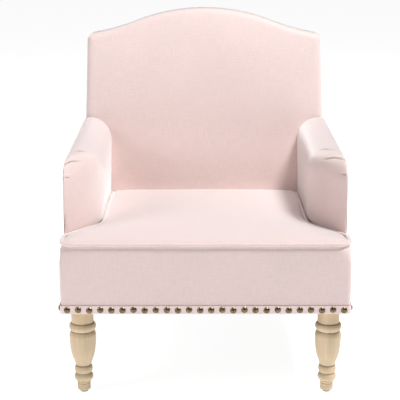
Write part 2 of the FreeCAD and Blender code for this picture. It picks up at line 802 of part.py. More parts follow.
def main():
    right_dowels = make_dowels()
    dowels = right_dowels + [mirrored(d) for d in right_dowels]
    front_inside, rear_inside = FRONT_RAIL + RAIL_THICK, REAR_RAIL - RAIL_THICK
    front_corner = make_corner_block(FRAME_HALF - RAIL_THICK, front_inside, 1)
    post = make_post()
    rear_corner = make_corner_block(FRAME_HALF - RAIL_THICK, rear_inside, -1).cut(post)
    blocks = [front_corner, mirrored(front_corner), rear_corner, mirrored(rear_corner)]
    screw_z = FRAME_BOTTOM + BLOCK_HEIGHT / 2
    right_screws = [
        make_screw(Vector(240, at(80), screw_z), (0, -1, 0)),
        make_screw(Vector(280, at(120), screw_z), (1, 0, 0)),
        make_screw(Vector(240, at(574), screw_z), (0, 1, 0)),
        make_screw(Vector(280, at(534), screw_z), (1, 0, 0)),
    ]
    screws = right_screws + [mirrored(s) for s in right_screws]
    bolts = [make_bolt(x, d) for x, d in leg_places()]
    nuts = [make_tee_nut(x, d) for x, d in leg_places()]
    nut_holes = [n.fuse(b) for n, b in zip(nuts, bolts)]
    nails_front = front_nails()
    nails_right = right_nails()
    nails_left = [mirrored(n) for n in nails_right]
    nails = nails_front + nails_right + nails_left
    glides = [make_glide(x, d) for x, d in toe_places()]
    holes = dowels + screws + nut_holes + nails

    front_rail = block(-FRAME_HALF, FRAME_HALF, FRONT_RAIL, front_inside, FRAME_BOTTOM, FRAME_TOP)
    rear_rail = block(-POST_INNER, POST_INNER, rear_inside, REAR_RAIL, FRAME_BOTTOM, FRAME_TOP)
    side_rail = prism_x(
        outline(
            side(front_inside, FRAME_BOTTOM),
            side(front_inside, FRAME_TOP),
            side(post_front(FRAME_TOP), FRAME_TOP),
            side(post_front(FRAME_BOTTOM), FRAME_BOTTOM),
        ),
        FRAME_HALF - RAIL_THICK,
        FRAME_HALF,
    )
    save("front_rail", cut_all(front_rail, holes))
    save("rear_rail", cut_all(rear_rail, holes))
    save_pair("side_rail", cut_all(side_rail, holes))
    save("corner_blocks", *[cut_all(b, holes) for b in blocks])
    save("block_screws", *screws)
    save_pair("back_post", cut_all(post, holes))
    save("crest_rail", cut_all(make_crest_rail(), holes))
    save("lower_back_rail", cut_all(make_lower_back_rail(), holes))
    save_pair("arm_stump", cut_all(make_stump(), holes))
    save_pair("arm_rail", cut_all(make_arm_rail(), holes))
    liner_end = CORE_INNER + LINER_THICK
    liner = block(CORE_INNER, liner_end, STUMP_BACK, 600, FRAME_TOP + 2, LINER_TOP)
    save_pair("arm_liner", liner)
    save("frame_dowels", *dowels)

    board = block(CORE_INNER, CORE_INNER + BOARD_THICK, STUMP_BACK, REAR_RAIL - 2, LINER_TOP, REACH)
    save_pair("arm_board", board.common(arm_core(RAIL_DROP + ARM_RAIL_THICK)))
    save("seat_springs", *[make_spring(x) for x in SPRING_X])
    save("spring_clips", *[make_clip(x, d) for x in SPRING_X for d in (SPRING_FIRST, SPRING_LAST)])
    tie_z = SPRING_HEIGHT + 2 * SPRING_WIRE_R + 0.3
    save("spring_tie_wires", *[
        rod(Vector(-TIE_HALF, at(d), tie_z), Vector(TIE_HALF, at(d), tie_z), SPRING_WIRE_R)
        for d in TIE_DEPTHS
    ])
    deck_front, deck_rear, deck_top = FRONT_RAIL + 2, REAR_RAIL - 12, DECK_BOTTOM + DECK_THICK
    save("deck_cloth", block(-DECK_HALF, DECK_HALF, deck_front, deck_rear, DECK_BOTTOM, deck_top))

    save("seat_foam", make_seat_foam())
    save("seat_wadding", seat_layer(11, SEAT_TOP - FABRIC - WADDING, SEAT_TOP - FABRIC))
    save("seat_cover", seat_layer(10, SEAT_TOP - FABRIC, SEAT_TOP))
    save("seat_welt", make_welt())
    save("front_border", cut_all(make_front_border(), nails_front))
    save_pair("side_panel", cut_all(make_side_panel(), nails_right))
    padded_arm = arm_form(FABRIC)
    save_pair("arm_cover", arm_form(0).cut(padded_arm))
    save_pair("arm_foam", padded_arm.cut(arm_core(RAIL_DROP)))
    save("back_webbing", *make_webbing())
    save("back_foam", make_back_foam())
    save("back_cover", make_back_cover())
    save("outside_back", make_outside_back())
    save("trim_band", cut_all(make_trim_band(), nails))
    save("front_nails", *nails_front)
    save("right_nails", *nails_right)
    save("left_nails", *nails_left)
    save("dust_cover", make_dust_cover())
    save("dust_cover_staples", *make_staples())

    save_pair("front_leg", cut_all(make_turned_leg(), bolts + glides))
    save_pair("rear_leg", cut_all(make_rear_leg(), bolts + glides))
    save("leg_bolts", *bolts)
    save("leg_tee_nuts", *nuts)
    save("leg_glides", *glides)


main()
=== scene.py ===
"""Looks of an upholstered armchair: linen cover, welt, nailed band, turned legs and what lies inside.

Lengths are metres. +Z is up and the sitter faces -Y. Depths run back from the seat's front edge,
and at() turns a depth into Y.
"""

import math

import bmesh
import bpy
import numpy as np
from mathutils import Matrix, Vector, noise


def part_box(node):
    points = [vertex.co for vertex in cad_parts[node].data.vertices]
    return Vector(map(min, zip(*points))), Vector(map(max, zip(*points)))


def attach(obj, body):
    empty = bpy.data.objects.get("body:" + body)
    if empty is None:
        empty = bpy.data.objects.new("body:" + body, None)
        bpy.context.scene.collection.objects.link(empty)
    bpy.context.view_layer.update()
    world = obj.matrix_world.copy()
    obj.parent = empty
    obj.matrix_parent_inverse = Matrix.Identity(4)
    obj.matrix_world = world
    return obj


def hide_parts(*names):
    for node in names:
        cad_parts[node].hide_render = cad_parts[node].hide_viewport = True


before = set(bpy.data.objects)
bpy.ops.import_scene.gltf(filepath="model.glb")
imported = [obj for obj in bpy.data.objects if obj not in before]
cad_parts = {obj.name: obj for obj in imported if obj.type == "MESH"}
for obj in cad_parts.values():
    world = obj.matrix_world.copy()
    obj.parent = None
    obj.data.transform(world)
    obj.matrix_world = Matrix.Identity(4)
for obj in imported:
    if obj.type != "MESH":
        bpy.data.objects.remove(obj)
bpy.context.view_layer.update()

bl_info = {
    "name": "Camelback armchair",
    "version": (1, 0, 0),
    "blender": (4, 5, 0),
    "location": "View3D > Sidebar > Armchair",
    "description": "Builds the soft parts and the finishes of an upholstered armchair round its frame",
    "category": "Add Mesh",
}

# ---- sizes that come from the frame ----
BORDER_LOW, BORDER_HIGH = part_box("front_border")
WELT_LOW, WELT_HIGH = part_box("seat_welt")
BACK_LOW, BACK_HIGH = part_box("back_cover")
BAND_LOW, BAND_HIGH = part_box("trim_band")
DUST_LOW, DUST_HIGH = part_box("dust_cover")
OUTSIDE_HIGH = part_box("outside_back")[1]
ARM_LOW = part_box("right_arm_cover")[0]
SEAT_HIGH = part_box("seat_cover")[1]

MM = 0.001
BORDER_FRONT = 4 * MM
SEAT_FRONT_Y = BORDER_LOW.y - BORDER_FRONT
BODY_HALF = BORDER_HIGH.x
BASE_BOTTOM = BORDER_LOW.z
WELT_R = (WELT_HIGH.z - WELT_LOW.z) / 2
WELT_Z = (WELT_HIGH.z + WELT_LOW.z) / 2
SEAT_FRONT = WELT_LOW.y - SEAT_FRONT_Y
SEAT_HALF = WELT_HIGH.x
SEAT_TOP = SEAT_HIGH.z
BACK_TOP = BACK_HIGH.z
FACE_FOOT = BACK_LOW.y - SEAT_FRONT_Y
ARM_INNER = ARM_LOW.x

OUTSIDE_TILT = math.tan(math.radians(9.6))
FACE_TILT = math.tan(math.radians(15.0))
ARM_TILT = math.tan(math.radians(5.0))
OUTSIDE_TOP = OUTSIDE_HIGH.y - SEAT_FRONT_Y

# ---- the camelback's curves ----
CREST_R = 570 * MM
CREST_END = 205 * MM
HOLLOW_R = 640 * MM
SHOULDER_HALF = 346 * MM
BACK_HALF = 350 * MM
CORNER_R = 16 * MM

# ---- the arm's curves ----
ARM_OUTER = 354 * MM
ARM_SIDE = 350 * MM
ARM_ROLL_SIDE = 62 * MM
ARM_ROLL_FRONT = 50 * MM
ARM_CORNER_R = 60 * MM
ARM_EDGE_R = 11 * MM
ARM_BEHIND = 3 * MM
ARM_LEAN = 0.055
ARM_REF = 200 * MM
ARM_TOP_FRONT = 585 * MM
ARM_WRAP = 15 * MM
SIDE_SEAM = 112 * MM
ARM_BOX_FRONT = 98 * MM
ARM_BOX_REAR = 600 * MM
ARM_BOX_TOP = 622 * MM
PANEL_REAR = 700 * MM

# ---- the band ----
NAIL_PITCH = 27 * MM
STITCHES = 560
BAND_HEM = 3 * MM

# ---- inner cloth ----
SPRING_GAP = 100 * MM
STRAP_WIDE = 50 * MM
STRAP_THICK = 1.6 * MM
STRAPS_ACROSS_Z = (540 * MM, 630 * MM, 720 * MM)
STRAPS_UPRIGHT_X = (-210 * MM, -70 * MM, 70 * MM, 210 * MM)
POST_DEEP = 53 * MM

# ---- pleats: each is points (x, depth, z) along a crease, then how deep and how wide it is ----
# The left arm's are given as if they were on the right arm, and are mirrored when they are pressed in.
RIGHT_PLEATS = (
    (((299 * MM, 270 * MM, 580 * MM), (312 * MM, 254 * MM, 586 * MM), (336 * MM, 225 * MM, 587 * MM)),
     1.2 * MM, 2.4 * MM),
    (((304 * MM, 204 * MM, 567 * MM), (311 * MM, 192 * MM, 571 * MM), (326 * MM, 175 * MM, 577 * MM),
      (339 * MM, 162 * MM, 578 * MM), (350 * MM, 151 * MM, 576 * MM), (353 * MM, 145 * MM, 571 * MM)),
     2.0 * MM, 2.8 * MM),
    (((338 * MM, 131 * MM, 544 * MM), (345 * MM, 122 * MM, 545 * MM), (349 * MM, 116 * MM, 543 * MM)),
     1.6 * MM, 2.4 * MM),
)
LEFT_PLEATS = (
    (((335 * MM, 217 * MM, 586 * MM), (322 * MM, 224 * MM, 586 * MM), (310 * MM, 234 * MM, 583 * MM)),
     1.2 * MM, 2.4 * MM),
    (((351 * MM, 129 * MM, 563 * MM), (348 * MM, 138 * MM, 569 * MM), (339 * MM, 151 * MM, 572 * MM),
      (328 * MM, 164 * MM, 571 * MM), (316 * MM, 178 * MM, 567 * MM)), 2.0 * MM, 2.8 * MM),
    (((349 * MM, 114 * MM, 538 * MM), (344 * MM, 119 * MM, 537 * MM), (338 * MM, 129 * MM, 535 * MM)),
     1.4 * MM, 2.4 * MM),
)
# painted shade along the pleats' creases: how strongly it is painted, and the tone that the cloth's
# colour is darkened to
CREASE_SHADE_DEPTH = 0.75
CREASE_SHADE_TONE = 0.45

# ---- the seat ----
NECK_CLIMB = 9 * MM
CLIMB_FROM = 240 * MM
CLIMB_TO = 500 * MM
FRONT_CORNER_R = 40 * MM
EAR_R = 36 * MM
NECK_HALF = 271 * MM
SLANT_OUT = (351 * MM, 98 * MM)
SLANT_IN = (277 * MM, 208 * MM)
SLANT_RUN = SLANT_OUT[0] - SLANT_IN[0]
SLANT_RISE = SLANT_IN[1] - SLANT_OUT[1]
SEAT_TUCK = 5.0 * MM
SEAT_SOFT = 70 * MM
SEAT_STEP = 5 * MM
SEAT_EDGE_R = 3 * MM
SEAT_UNDER = 370 * MM

# ---- the cloth's painted sheen: its colour is painted paler, towards white, where it is seen edge on ----
PAINTED_SHEEN = 0.33
PAINTED_SHEEN_FROM = 0.45
PAINTED_SHEEN_TO = 0.85
PAINTED_SHEEN_COLOUR = (1.0, 0.99, 0.99, 1)

# ---- the wood's look: each groove of a turned leg is its height and half its glaze's width, in mm ----
STREAK_TONE = 0.62
GROOVES = ((184, 2.2), (162.5, 2.6), (71, 2.6), (50.5, 2.2), (30, 2.4), (23, 1.2))
GLAZE_COLOUR = (0.16, 0.115, 0.07, 1)

# ---- the back ----
BACK_DEEP = 110 * MM
BACK_UNDER = 397 * MM
BACK_ROLL = 20 * MM
BACK_ARM_Z = 600 * MM
OUTSIDE_INSET = 2.5 * MM

# ---- how finely each form's mesh is cut ----
ARM_FINE = 7.5 * MM
SEAT_FINE = 9 * MM
BACK_FINE = 10 * MM
SIDE_FINE = 11 * MM
OUTSIDE_FINE = 12 * MM

# ---- how far rays go in shaped(), in lengths from core to box, and how often their range is halved ----
REACH = 2.5
HALVINGS = 30

# ---- the stage, in metres. CAMERA_DOWN is in degrees and CAMERA_TURN in radians ----
FLOOR_HALF = 300
FLOOR_GLOW = 0.92
KEY_PLACE = (2.4, -0.8, 5.8)
KEY_AIM = (0.0, 0.0, 0.5)
KEY_SIZE = 1.6
FILL_PLACE = (-2.6, -1.4, 1.9)
FILL_AIM = (0.1, 0.0, 0.5)
FILL_SIZE = 1.4
CAMERA_X = -0.0176
CAMERA_DEPTH = -2.2878
CAMERA_Z = 1.0358
CAMERA_DOWN = 12.99
CAMERA_TURN = -0.0017


def at(depth):
    """Y of a depth behind the seat's front edge."""
    return depth + SEAT_FRONT_Y


# ---- sizes and colours that a user may change ----
class ClothSettings(bpy.types.PropertyGroup):
    """The cover's cloth."""

    colour: bpy.props.FloatVectorProperty(
        name="Cloth colour", description="Average colour of the linen", subtype="COLOR",
        default=(0.80, 0.64, 0.612), size=3, min=0, max=1,
    )
    trim_colour: bpy.props.FloatVectorProperty(
        name="Band colour", description="Colour of the nailed band", subtype="COLOR",
        default=(0.86, 0.69, 0.67), size=3, min=0, max=1,
    )
    yarn: bpy.props.FloatProperty(
        name="Yarn pitch", description="Distance from one yarn to the next",
        default=0.9 * MM, unit="LENGTH",
    )
    slub: bpy.props.FloatProperty(
        name="Slub", description="How far thick yarns differ in tone",
        default=0.10, min=0, max=1, subtype="FACTOR",
    )
    seat_crown: bpy.props.FloatProperty(
        name="Seat crown", description="How far the seat's middle rises over its edge",
        default=12 * MM, unit="LENGTH",
    )
    back_crown: bpy.props.FloatProperty(
        name="Back crown", description="How far the back's middle stands out",
        default=9 * MM, unit="LENGTH",
    )


class HardwareSettings(bpy.types.PropertyGroup):
    """Nails and legs."""

    nail_colour: bpy.props.FloatVectorProperty(
        name="Nail colour", description="Colour of the nails' worn tops", subtype="COLOR",
        default=(0.30, 0.22, 0.13), size=3, min=0, max=1,
    )
    wood_colour: bpy.props.FloatVectorProperty(
        name="Leg colour", description="Colour of the washed wood", subtype="COLOR",
        default=(0.80, 0.62, 0.41), size=3, min=0, max=1,
    )


class StageSettings(bpy.types.PropertyGroup):
    """Camera and light."""

    lens: bpy.props.FloatProperty(
        name="Lens", description="Focal length on a 36 mm sensor, in millimetres",
        default=89.16, unit="CAMERA",
    )
    key: bpy.props.FloatProperty(
        name="Key", description="Power of the large lamp overhead, in watts", default=385.0, unit="POWER",
    )
    fill: bpy.props.FloatProperty(
        name="Fill", description="Power of the lamp at the viewer's left, in watts", default=28.0,
        unit="POWER",
    )
    world: bpy.props.FloatProperty(
        name="Surround", description="Brightness of the room", default=0.07, subtype="FACTOR",
    )


# ---- outline functions ----
def face_depth(z):
    """Depth of the back's face at a height."""
    return FACE_FOOT + (z - SEAT_TOP) * FACE_TILT


def outside_depth(z):
    """Depth of the outside back at a height."""
    return OUTSIDE_TOP + (z - BACK_TOP) * OUTSIDE_TILT


def arm_top(depth):
    """Height of the arm's top line at a depth."""
    return ARM_TOP_FRONT + (depth - ARM_REF) * ARM_TILT


def crest_height(x):
    """Height of the camelback's top line: an arch, then a hollow curve to each shoulder."""
    x = np.abs(x)
    lean = math.asin(CREST_END / CREST_R)
    arch_z = BACK_TOP - CREST_R
    hollow_x = (CREST_R + HOLLOW_R) * math.sin(lean)
    hollow_z = arch_z + (CREST_R + HOLLOW_R) * math.cos(lean)
    arch = arch_z + np.sqrt(np.maximum(CREST_R ** 2 - x ** 2, 0))
    hollow = hollow_z - np.sqrt(np.maximum(HOLLOW_R ** 2 - (x - hollow_x) ** 2, 0))
    return np.where(x < CREST_END, arch, hollow)


def round_and(a, b, r):
    """Both shapes' common part, its edge rounded to a radius. Distances are negative inside."""
    return np.minimum(-r, np.maximum(a, b)) + np.hypot(np.maximum(r + a, 0), np.maximum(r + b, 0))


def soft_or(a, b, k):
    """The two shapes joined, the inner corner filled over a width."""
    h = np.clip(0.5 + 0.5 * (b - a) / k, 0, 1)
    return b + (a - b) * h - k * h * (1 - h)


def slanting(x, d):
    """Distance behind the slanting line, in plan, along which the seat's front part meets the arm."""
    across = (x - SLANT_IN[0]) * SLANT_RISE + (d - SLANT_IN[1]) * SLANT_RUN
    return across / math.hypot(SLANT_RUN, SLANT_RISE)


def seat_plan(x, d):
    """Distance from the T-shaped seat's edge in plan, negative inside.

    The neck has no rear edge here: it runs on under the back.
    """
    x = np.abs(x)
    front = round_and(slanting(x, d), x - SEAT_HALF, EAR_R)
    front = round_and(front, SEAT_FRONT - d, FRONT_CORNER_R)
    neck = np.maximum(x - NECK_HALF, SLANT_OUT[1] - d)
    return soft_or(front, neck, 34 * MM)


# ---- mesh helpers ----
def even_box(size, step):
    """A unit cube cut so finely that, stretched to a size, no edge is longer than a step."""
    bm = bmesh.new()
    bmesh.ops.create_cube(bm, size=1)
    for axis in range(3):
        cuts = max(1, round(size[axis] / step)) - 1
        along = [e for e in bm.edges if abs((e.verts[1].co - e.verts[0].co).normalized()[axis]) > 0.9]
        if cuts:
            bmesh.ops.subdivide_edges(bm, edges=along, cuts=cuts, use_grid_fill=True)
    return bm


def shaped(name, low, high, core_low, core_high, inside, step, warp):
    """A closed form. An even box's vertices move out from its core until they reach the surface.

    low, high: the box as (x, depth, z). core_low, core_high: the box inside it that the rays start from.
    inside: the form as a distance, negative inside. warp: bends the box to about the form first.
    """
    low, high = np.array(low), np.array(high)
    bm = even_box(high - low, step)
    co = np.array([v.co for v in bm.verts])
    outer = low + (co + 0.5) * (high - low)
    core = np.clip(outer, core_low, core_high)
    ray = outer - core
    near, far = np.zeros(len(co)), np.full(len(co), REACH)
    for _ in range(HALVINGS):
        middle = (near + far) / 2
        within = inside(*warp(*(core + ray * middle[:, None]).T)) < 0
        near = np.where(within, middle, near)
        far = np.where(within, far, middle)
    x, d, z = warp(*(core + ray * near[:, None]).T)
    for vert, place in zip(bm.verts, np.column_stack((x, at(d), z))):
        vert.co = place
    bmesh.ops.recalc_face_normals(bm, faces=bm.faces)
    return finished(bm, name)


def rounded_path(corners, count):
    """Evenly spaced plan points along straight lines, each corner (x, depth, radius) rounded."""
    points = [np.array(corners[0][:2])]
    for before, (x, d, r), after in zip(corners, corners[1:], corners[2:]):
        here = np.array((x, d))
        coming = here - before[:2]
        going = np.array(after[:2]) - here
        coming, going = coming / np.linalg.norm(coming), going / np.linalg.norm(going)
        turn = math.atan2(coming[0] * going[1] - coming[1] * going[0], coming @ going)
        side = math.copysign(1, turn) * np.array((-coming[1], coming[0]))
        centre = here - coming * r * math.tan(abs(turn) / 2) + side * r
        for share in np.linspace(0, 1, 17):
            c, s = math.cos(turn * share), math.sin(turn * share)
            arm = -side * r
            points.append(centre + np.array((c * arm[0] - s * arm[1], s * arm[0] + c * arm[1])))
    points.append(np.array(corners[-1][:2]))
    points = np.array(points)
    run = np.concatenate(([0], np.cumsum(np.linalg.norm(np.diff(points, axis=0), axis=1))))
    even = np.linspace(0, run[-1], count)
    return np.column_stack([np.interp(even, run, points[:, axis]) for axis in range(2)])


def outward(path):
    """A plan path's unit normals. They point outside when it runs from the left arm round the front."""
    way = np.gradient(path, axis=0)
    way /= np.linalg.norm(way, axis=1)[:, None]
    return np.column_stack((way[:, 1], -way[:, 0]))


def swept(name, rows, section, foot, head=None):
    """A closed skin laid along a plan path.

    section(along, across) gives how far out of the path and how high each point of the loop lies.
    foot and head are the paths at the bottom and at the top, where they differ.
    """
    head = foot if head is None else head
    count = len(foot)
    bm = bmesh.new()
    bmesh.ops.create_grid(bm, x_segments=count - 1, y_segments=rows, size=0.5)
    co = np.array([v.co for v in bm.verts])
    along, across = co[:, 0] + 0.5, co[:, 1] + 0.5
    index = np.rint(along * (count - 1)).astype(int)
    out, height, share = section(along, across)
    path = foot[index] * (1 - share)[:, None] + head[index] * share[:, None]
    path += outward(foot)[index] * out[:, None]
    for vert, place in zip(bm.verts, np.column_stack((path[:, 0], at(path[:, 1]), height))):
        vert.co = place
    bmesh.ops.remove_doubles(bm, verts=bm.verts, dist=0.01 * MM)
    bmesh.ops.holes_fill(bm, edges=[e for e in bm.edges if e.is_boundary], sides=0)
    bmesh.ops.recalc_face_normals(bm, faces=bm.faces)
    return finished(bm, name)


def finished(bm, name, smooth=True):
    """Turns a bmesh into an object at the origin."""
    mesh = bpy.data.meshes.new(name)
    for face in bm.faces:
        face.smooth = smooth
    bm.to_mesh(mesh)
    bm.free()
    obj = bpy.data.objects.new(name, mesh)
    bpy.context.scene.collection.objects.link(obj)
    return obj


def coords(obj):
    """An object's vertices as an array of x, y, z."""
    co = np.zeros(len(obj.data.vertices) * 3, np.float32)
    obj.data.vertices.foreach_get("co", co)
    return co.reshape(-1, 3).astype(float)


def places(co):
    """The x, the depth and the height of each vertex."""
    return co[:, 0], co[:, 1] - SEAT_FRONT_Y, co[:, 2]


def set_coords(obj, co):
    obj.data.vertices.foreach_set("co", co.astype(np.float32).ravel())
    obj.data.update()


def normals(obj):
    n = np.zeros(len(obj.data.vertices) * 3, np.float32)
    obj.data.vertices.foreach_get("normal", n)
    return n.reshape(-1, 3).astype(float)


def apply_modifiers(obj):
    """Bakes an object's modifiers into its mesh."""
    graph = bpy.context.evaluated_depsgraph_get()
    mesh = bpy.data.meshes.new_from_object(obj.evaluated_get(graph))
    obj.modifiers.clear()
    obj.data = mesh


def subdivided(obj, levels=1):
    """Smooths an object by subdivision and keeps the result."""
    modifier = obj.modifiers.new("smooth", "SUBSURF")
    modifier.levels = levels
    modifier.render_levels = levels
    apply_modifiers(obj)


def puffed(obj, hold, cap, pressure=4.0, frames=20):
    """Fills a form by cloth simulation.

    hold: each vertex's pin weight. cap: the furthest that a vertex moves.
    """
    before = coords(obj)
    group = obj.vertex_groups.new(name="hold")
    for index, weight in enumerate(hold):
        if weight > 0:
            group.add([index], float(weight), "REPLACE")
    modifier = obj.modifiers.new("cloth", "CLOTH")
    cloth = modifier.settings
    cloth.quality = 5
    cloth.mass = 0.3
    cloth.tension_stiffness = 20
    cloth.compression_stiffness = 20
    cloth.bending_stiffness = 2.0
    cloth.use_pressure = True
    cloth.uniform_pressure_force = pressure
    cloth.effector_weights.gravity = 0
    cloth.vertex_group_mass = "hold"
    modifier.collision_settings.use_collision = False
    modifier.point_cache.frame_start = 1
    modifier.point_cache.frame_end = frames
    scene = bpy.context.scene
    for number in range(1, frames + 1):
        scene.frame_set(number)
    graph = bpy.context.evaluated_depsgraph_get()
    after = np.array([v.co for v in obj.evaluated_get(graph).data.vertices])
    obj.modifiers.remove(modifier)
    obj.vertex_groups.remove(group)
    scene.frame_set(1)
    move = after - before
    far = np.linalg.norm(move, axis=1)
    keep = cap * np.tanh(far / cap) / np.maximum(far, 1e-9)
    set_coords(obj, before + move * keep[:, None])


def ripple(co, size, seed):
    """Smooth noise from -1 to 1 at each point, with waves of about a size."""
    shift = Vector((seed * 3.1, seed * 1.7, seed * 2.3))
    return np.array([noise.noise(Vector(p) / size + shift) for p in co])


def add_part(obj, material, replaced=()):
    """Gives a finished piece its material and body, and hides the CAD nodes that it stands for."""
    obj.data.materials.clear()
    obj.data.materials.append(material)
    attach(obj, "root")
    if replaced:
        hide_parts(*replaced)
    return obj


def mirrored_copy(obj, name):
    """The left-hand twin of a right-hand piece."""
    bm = bmesh.new()
    bm.from_mesh(obj.data)
    bmesh.ops.scale(bm, vec=(-1, 1, 1), verts=bm.verts)
    bmesh.ops.reverse_faces(bm, faces=bm.faces)
    return finished(bm, name)


# ---- material helpers ----
def new_group(name, inputs, outputs):
    """An empty shader node group with its sockets. Each socket is (name, kind, default)."""
    group = bpy.data.node_groups.new(name, "ShaderNodeTree")
    kinds = {"float": "NodeSocketFloat", "colour": "NodeSocketColor", "vector": "NodeSocketVector"}
    for way, sockets in (("INPUT", inputs), ("OUTPUT", outputs)):
        for socket_name, kind, default in sockets:
            socket = group.interface.new_socket(socket_name, in_out=way, socket_type=kinds[kind])
            if default is not None:
                socket.default_value = default
    return group


class Wiring:
    """Short words for adding and joining nodes in one tree."""

    def __init__(self, tree):
        self.tree = tree

    def add(self, kind, **settings):
        node = self.tree.nodes.new("ShaderNode" + kind)
        for key, value in settings.items():
            setattr(node, key, value)
        return node

    def join(self, source, target):
        self.tree.links.new(source, target)

    def put(self, value, target):
        """Joins a socket to a target, or sets the target to a constant."""
        if isinstance(value, bpy.types.NodeSocket):
            self.join(value, target)
        else:
            target.default_value = value

    def math(self, operation, a, b=None, c=None, clamp=False):
        node = self.add("Math", operation=operation, use_clamp=clamp)
        for value, target in zip((a, b, c), node.inputs):
            if value is not None:
                self.put(value, target)
        return node.outputs[0]

    def mix(self, factor, a, b, blend="MIX"):
        """Mixes two colours."""
        node = self.add("Mix", data_type="RGBA", blend_type=blend)
        self.put(factor, node.inputs[0])
        self.put(a, node.inputs[6])
        self.put(b, node.inputs[7])
        return node.outputs[2]

    def noise(self, vector, scale, detail=2.0, rough=0.5, stretch=None):
        """Noise from 0 to 1. stretch scales the coordinates first: a small number draws out streaks."""
        if stretch is not None:
            vector = self.mapped(vector, stretch)
        node = self.add("TexNoise")
        self.join(vector, node.inputs["Vector"])
        node.inputs["Scale"].default_value = scale
        node.inputs["Detail"].default_value = detail
        node.inputs["Roughness"].default_value = rough
        return node.outputs[0]

    def mapped(self, vector, scale, place=(0, 0, 0)):
        node = self.add("Mapping")
        self.join(vector, node.inputs[0])
        node.inputs["Scale"].default_value = scale
        node.inputs["Location"].default_value = place
        return node.outputs[0]

    def steps(self, factor, low, high, to_low=0.0, to_high=1.0):
        """Maps a value from one range to another, clamped."""
        node = self.add("MapRange")
        self.put(factor, node.inputs[0])
        for index, value in enumerate((low, high, to_low, to_high), start=1):
            node.inputs[index].default_value = value
        return node.outputs[0]

    def bump(self, height, distance, strength=1.0):
        node = self.add("Bump")
        self.join(height, node.inputs["Height"])
        node.inputs["Distance"].default_value = distance
        node.inputs["Strength"].default_value = strength
        return node.outputs[0]


def weave_group():
    """One flat view of the cloth: yarns over and under, and thick slubs. It puts out height and tone."""
    group = new_group(
        "plain_weave",
        [("Across", "float", 0.0), ("Along", "float", 0.0), ("Pitch", "float", 0.9 * MM)],
        [("Height", "float", None), ("Tone", "float", None)],
    )
    w = Wiring(group)
    source, result = group.nodes.new("NodeGroupInput"), group.nodes.new("NodeGroupOutput")
    joined = w.add("CombineXYZ")
    w.join(source.outputs["Across"], joined.inputs[0])
    w.join(source.outputs["Along"], joined.inputs[1])
    flat = joined.outputs[0]
    warp_slub = w.noise(flat, 1.0, 2.0, 0.6, stretch=(420, 34, 1))
    weft_slub = w.noise(flat, 1.0, 2.0, 0.6, stretch=(30, 380, 1))
    wobble = w.noise(flat, 1.0, 1.0, 0.5, stretch=(110, 110, 1))
    waves = []
    for name, slub in (("Across", warp_slub), ("Along", weft_slub)):
        turns = w.math("DIVIDE", source.outputs[name], source.outputs["Pitch"])
        shifted = w.math("MULTIPLY_ADD", wobble, 0.55, turns)
        waves.append(w.math("SINE", w.math("MULTIPLY", shifted, math.pi)))
    crossing = w.math("MULTIPLY", waves[0], waves[1])
    height = w.math("MULTIPLY_ADD", crossing, 0.5, 0.5)
    thick = w.math("ADD", warp_slub, weft_slub)
    w.join(w.math("MULTIPLY_ADD", thick, 0.55, height), result.inputs["Height"])
    w.join(w.math("SUBTRACT", thick, 1.0), result.inputs["Tone"])
    return group


def linen_group(weave):
    """The cover cloth: the weave seen along each axis, blended by which way the surface faces."""
    group = new_group(
        "slub_linen",
        [
            ("Colour", "colour", (0.8, 0.6, 0.56, 1)),
            ("Slub", "float", 0.1),
            ("Pitch", "float", 0.9 * MM),
        ],
        [("Colour", "colour", None), ("Height", "float", None), ("Roughness", "float", None)],
    )
    w = Wiring(group)
    source, result = group.nodes.new("NodeGroupInput"), group.nodes.new("NodeGroupOutput")
    place = w.add("TexCoord").outputs["Object"]
    split = w.add("SeparateXYZ")
    w.join(place, split.inputs[0])
    facing = w.add("SeparateXYZ")
    w.join(w.add("NewGeometry").outputs["Normal"], facing.inputs[0])
    shares = [w.math("POWER", w.math("ABSOLUTE", facing.outputs[axis]), 6.0) for axis in range(3)]
    total = w.math("ADD", w.math("ADD", shares[0], shares[1]), shares[2])
    height = tone = None
    for share, (across, along) in zip(shares, ((1, 2), (0, 2), (0, 1))):
        view = w.add("Group", node_tree=weave)
        w.join(split.outputs[across], view.inputs["Across"])
        w.join(split.outputs[along], view.inputs["Along"])
        w.join(source.outputs["Pitch"], view.inputs["Pitch"])
        part = w.math("DIVIDE", share, total)
        if height is None:
            height = w.math("MULTIPLY", view.outputs["Height"], part)
            tone = w.math("MULTIPLY", view.outputs["Tone"], part)
        else:
            height = w.math("MULTIPLY_ADD", view.outputs["Height"], part, height)
            tone = w.math("MULTIPLY_ADD", view.outputs["Tone"], part, tone)
    cloudy = w.noise(place, 9.0, 2.0, 0.5)
    shade = w.math("MULTIPLY_ADD", tone, source.outputs["Slub"], 1.0)
    shade = w.math("MULTIPLY", shade, w.steps(cloudy, 0.3, 0.7, 0.985, 1.015))
    # painted shade: the weave's low parts, between the yarns, are painted darker
    deep = w.steps(height, 0.35, 1.05, 0.90, 1.04)
    shade = w.math("MULTIPLY", shade, deep)
    tint = w.add("CombineColor")
    for index in range(3):
        w.join(shade, tint.inputs[index])
    w.join(w.mix(1.0, source.outputs["Colour"], tint.outputs[0], "MULTIPLY"), result.inputs["Colour"])
    w.join(height, result.inputs["Height"])
    w.join(w.steps(tone, -0.4, 0.4, 0.56, 0.7), result.inputs["Roughness"])
    return group


def blank_material(name):
    """A material with only its Principled shader, and the words to wire it."""
    material = bpy.data.materials.new(name)
    material.use_nodes = True
    shader = material.node_tree.nodes["Principled BSDF"]
    return material, Wiring(material.node_tree), shader


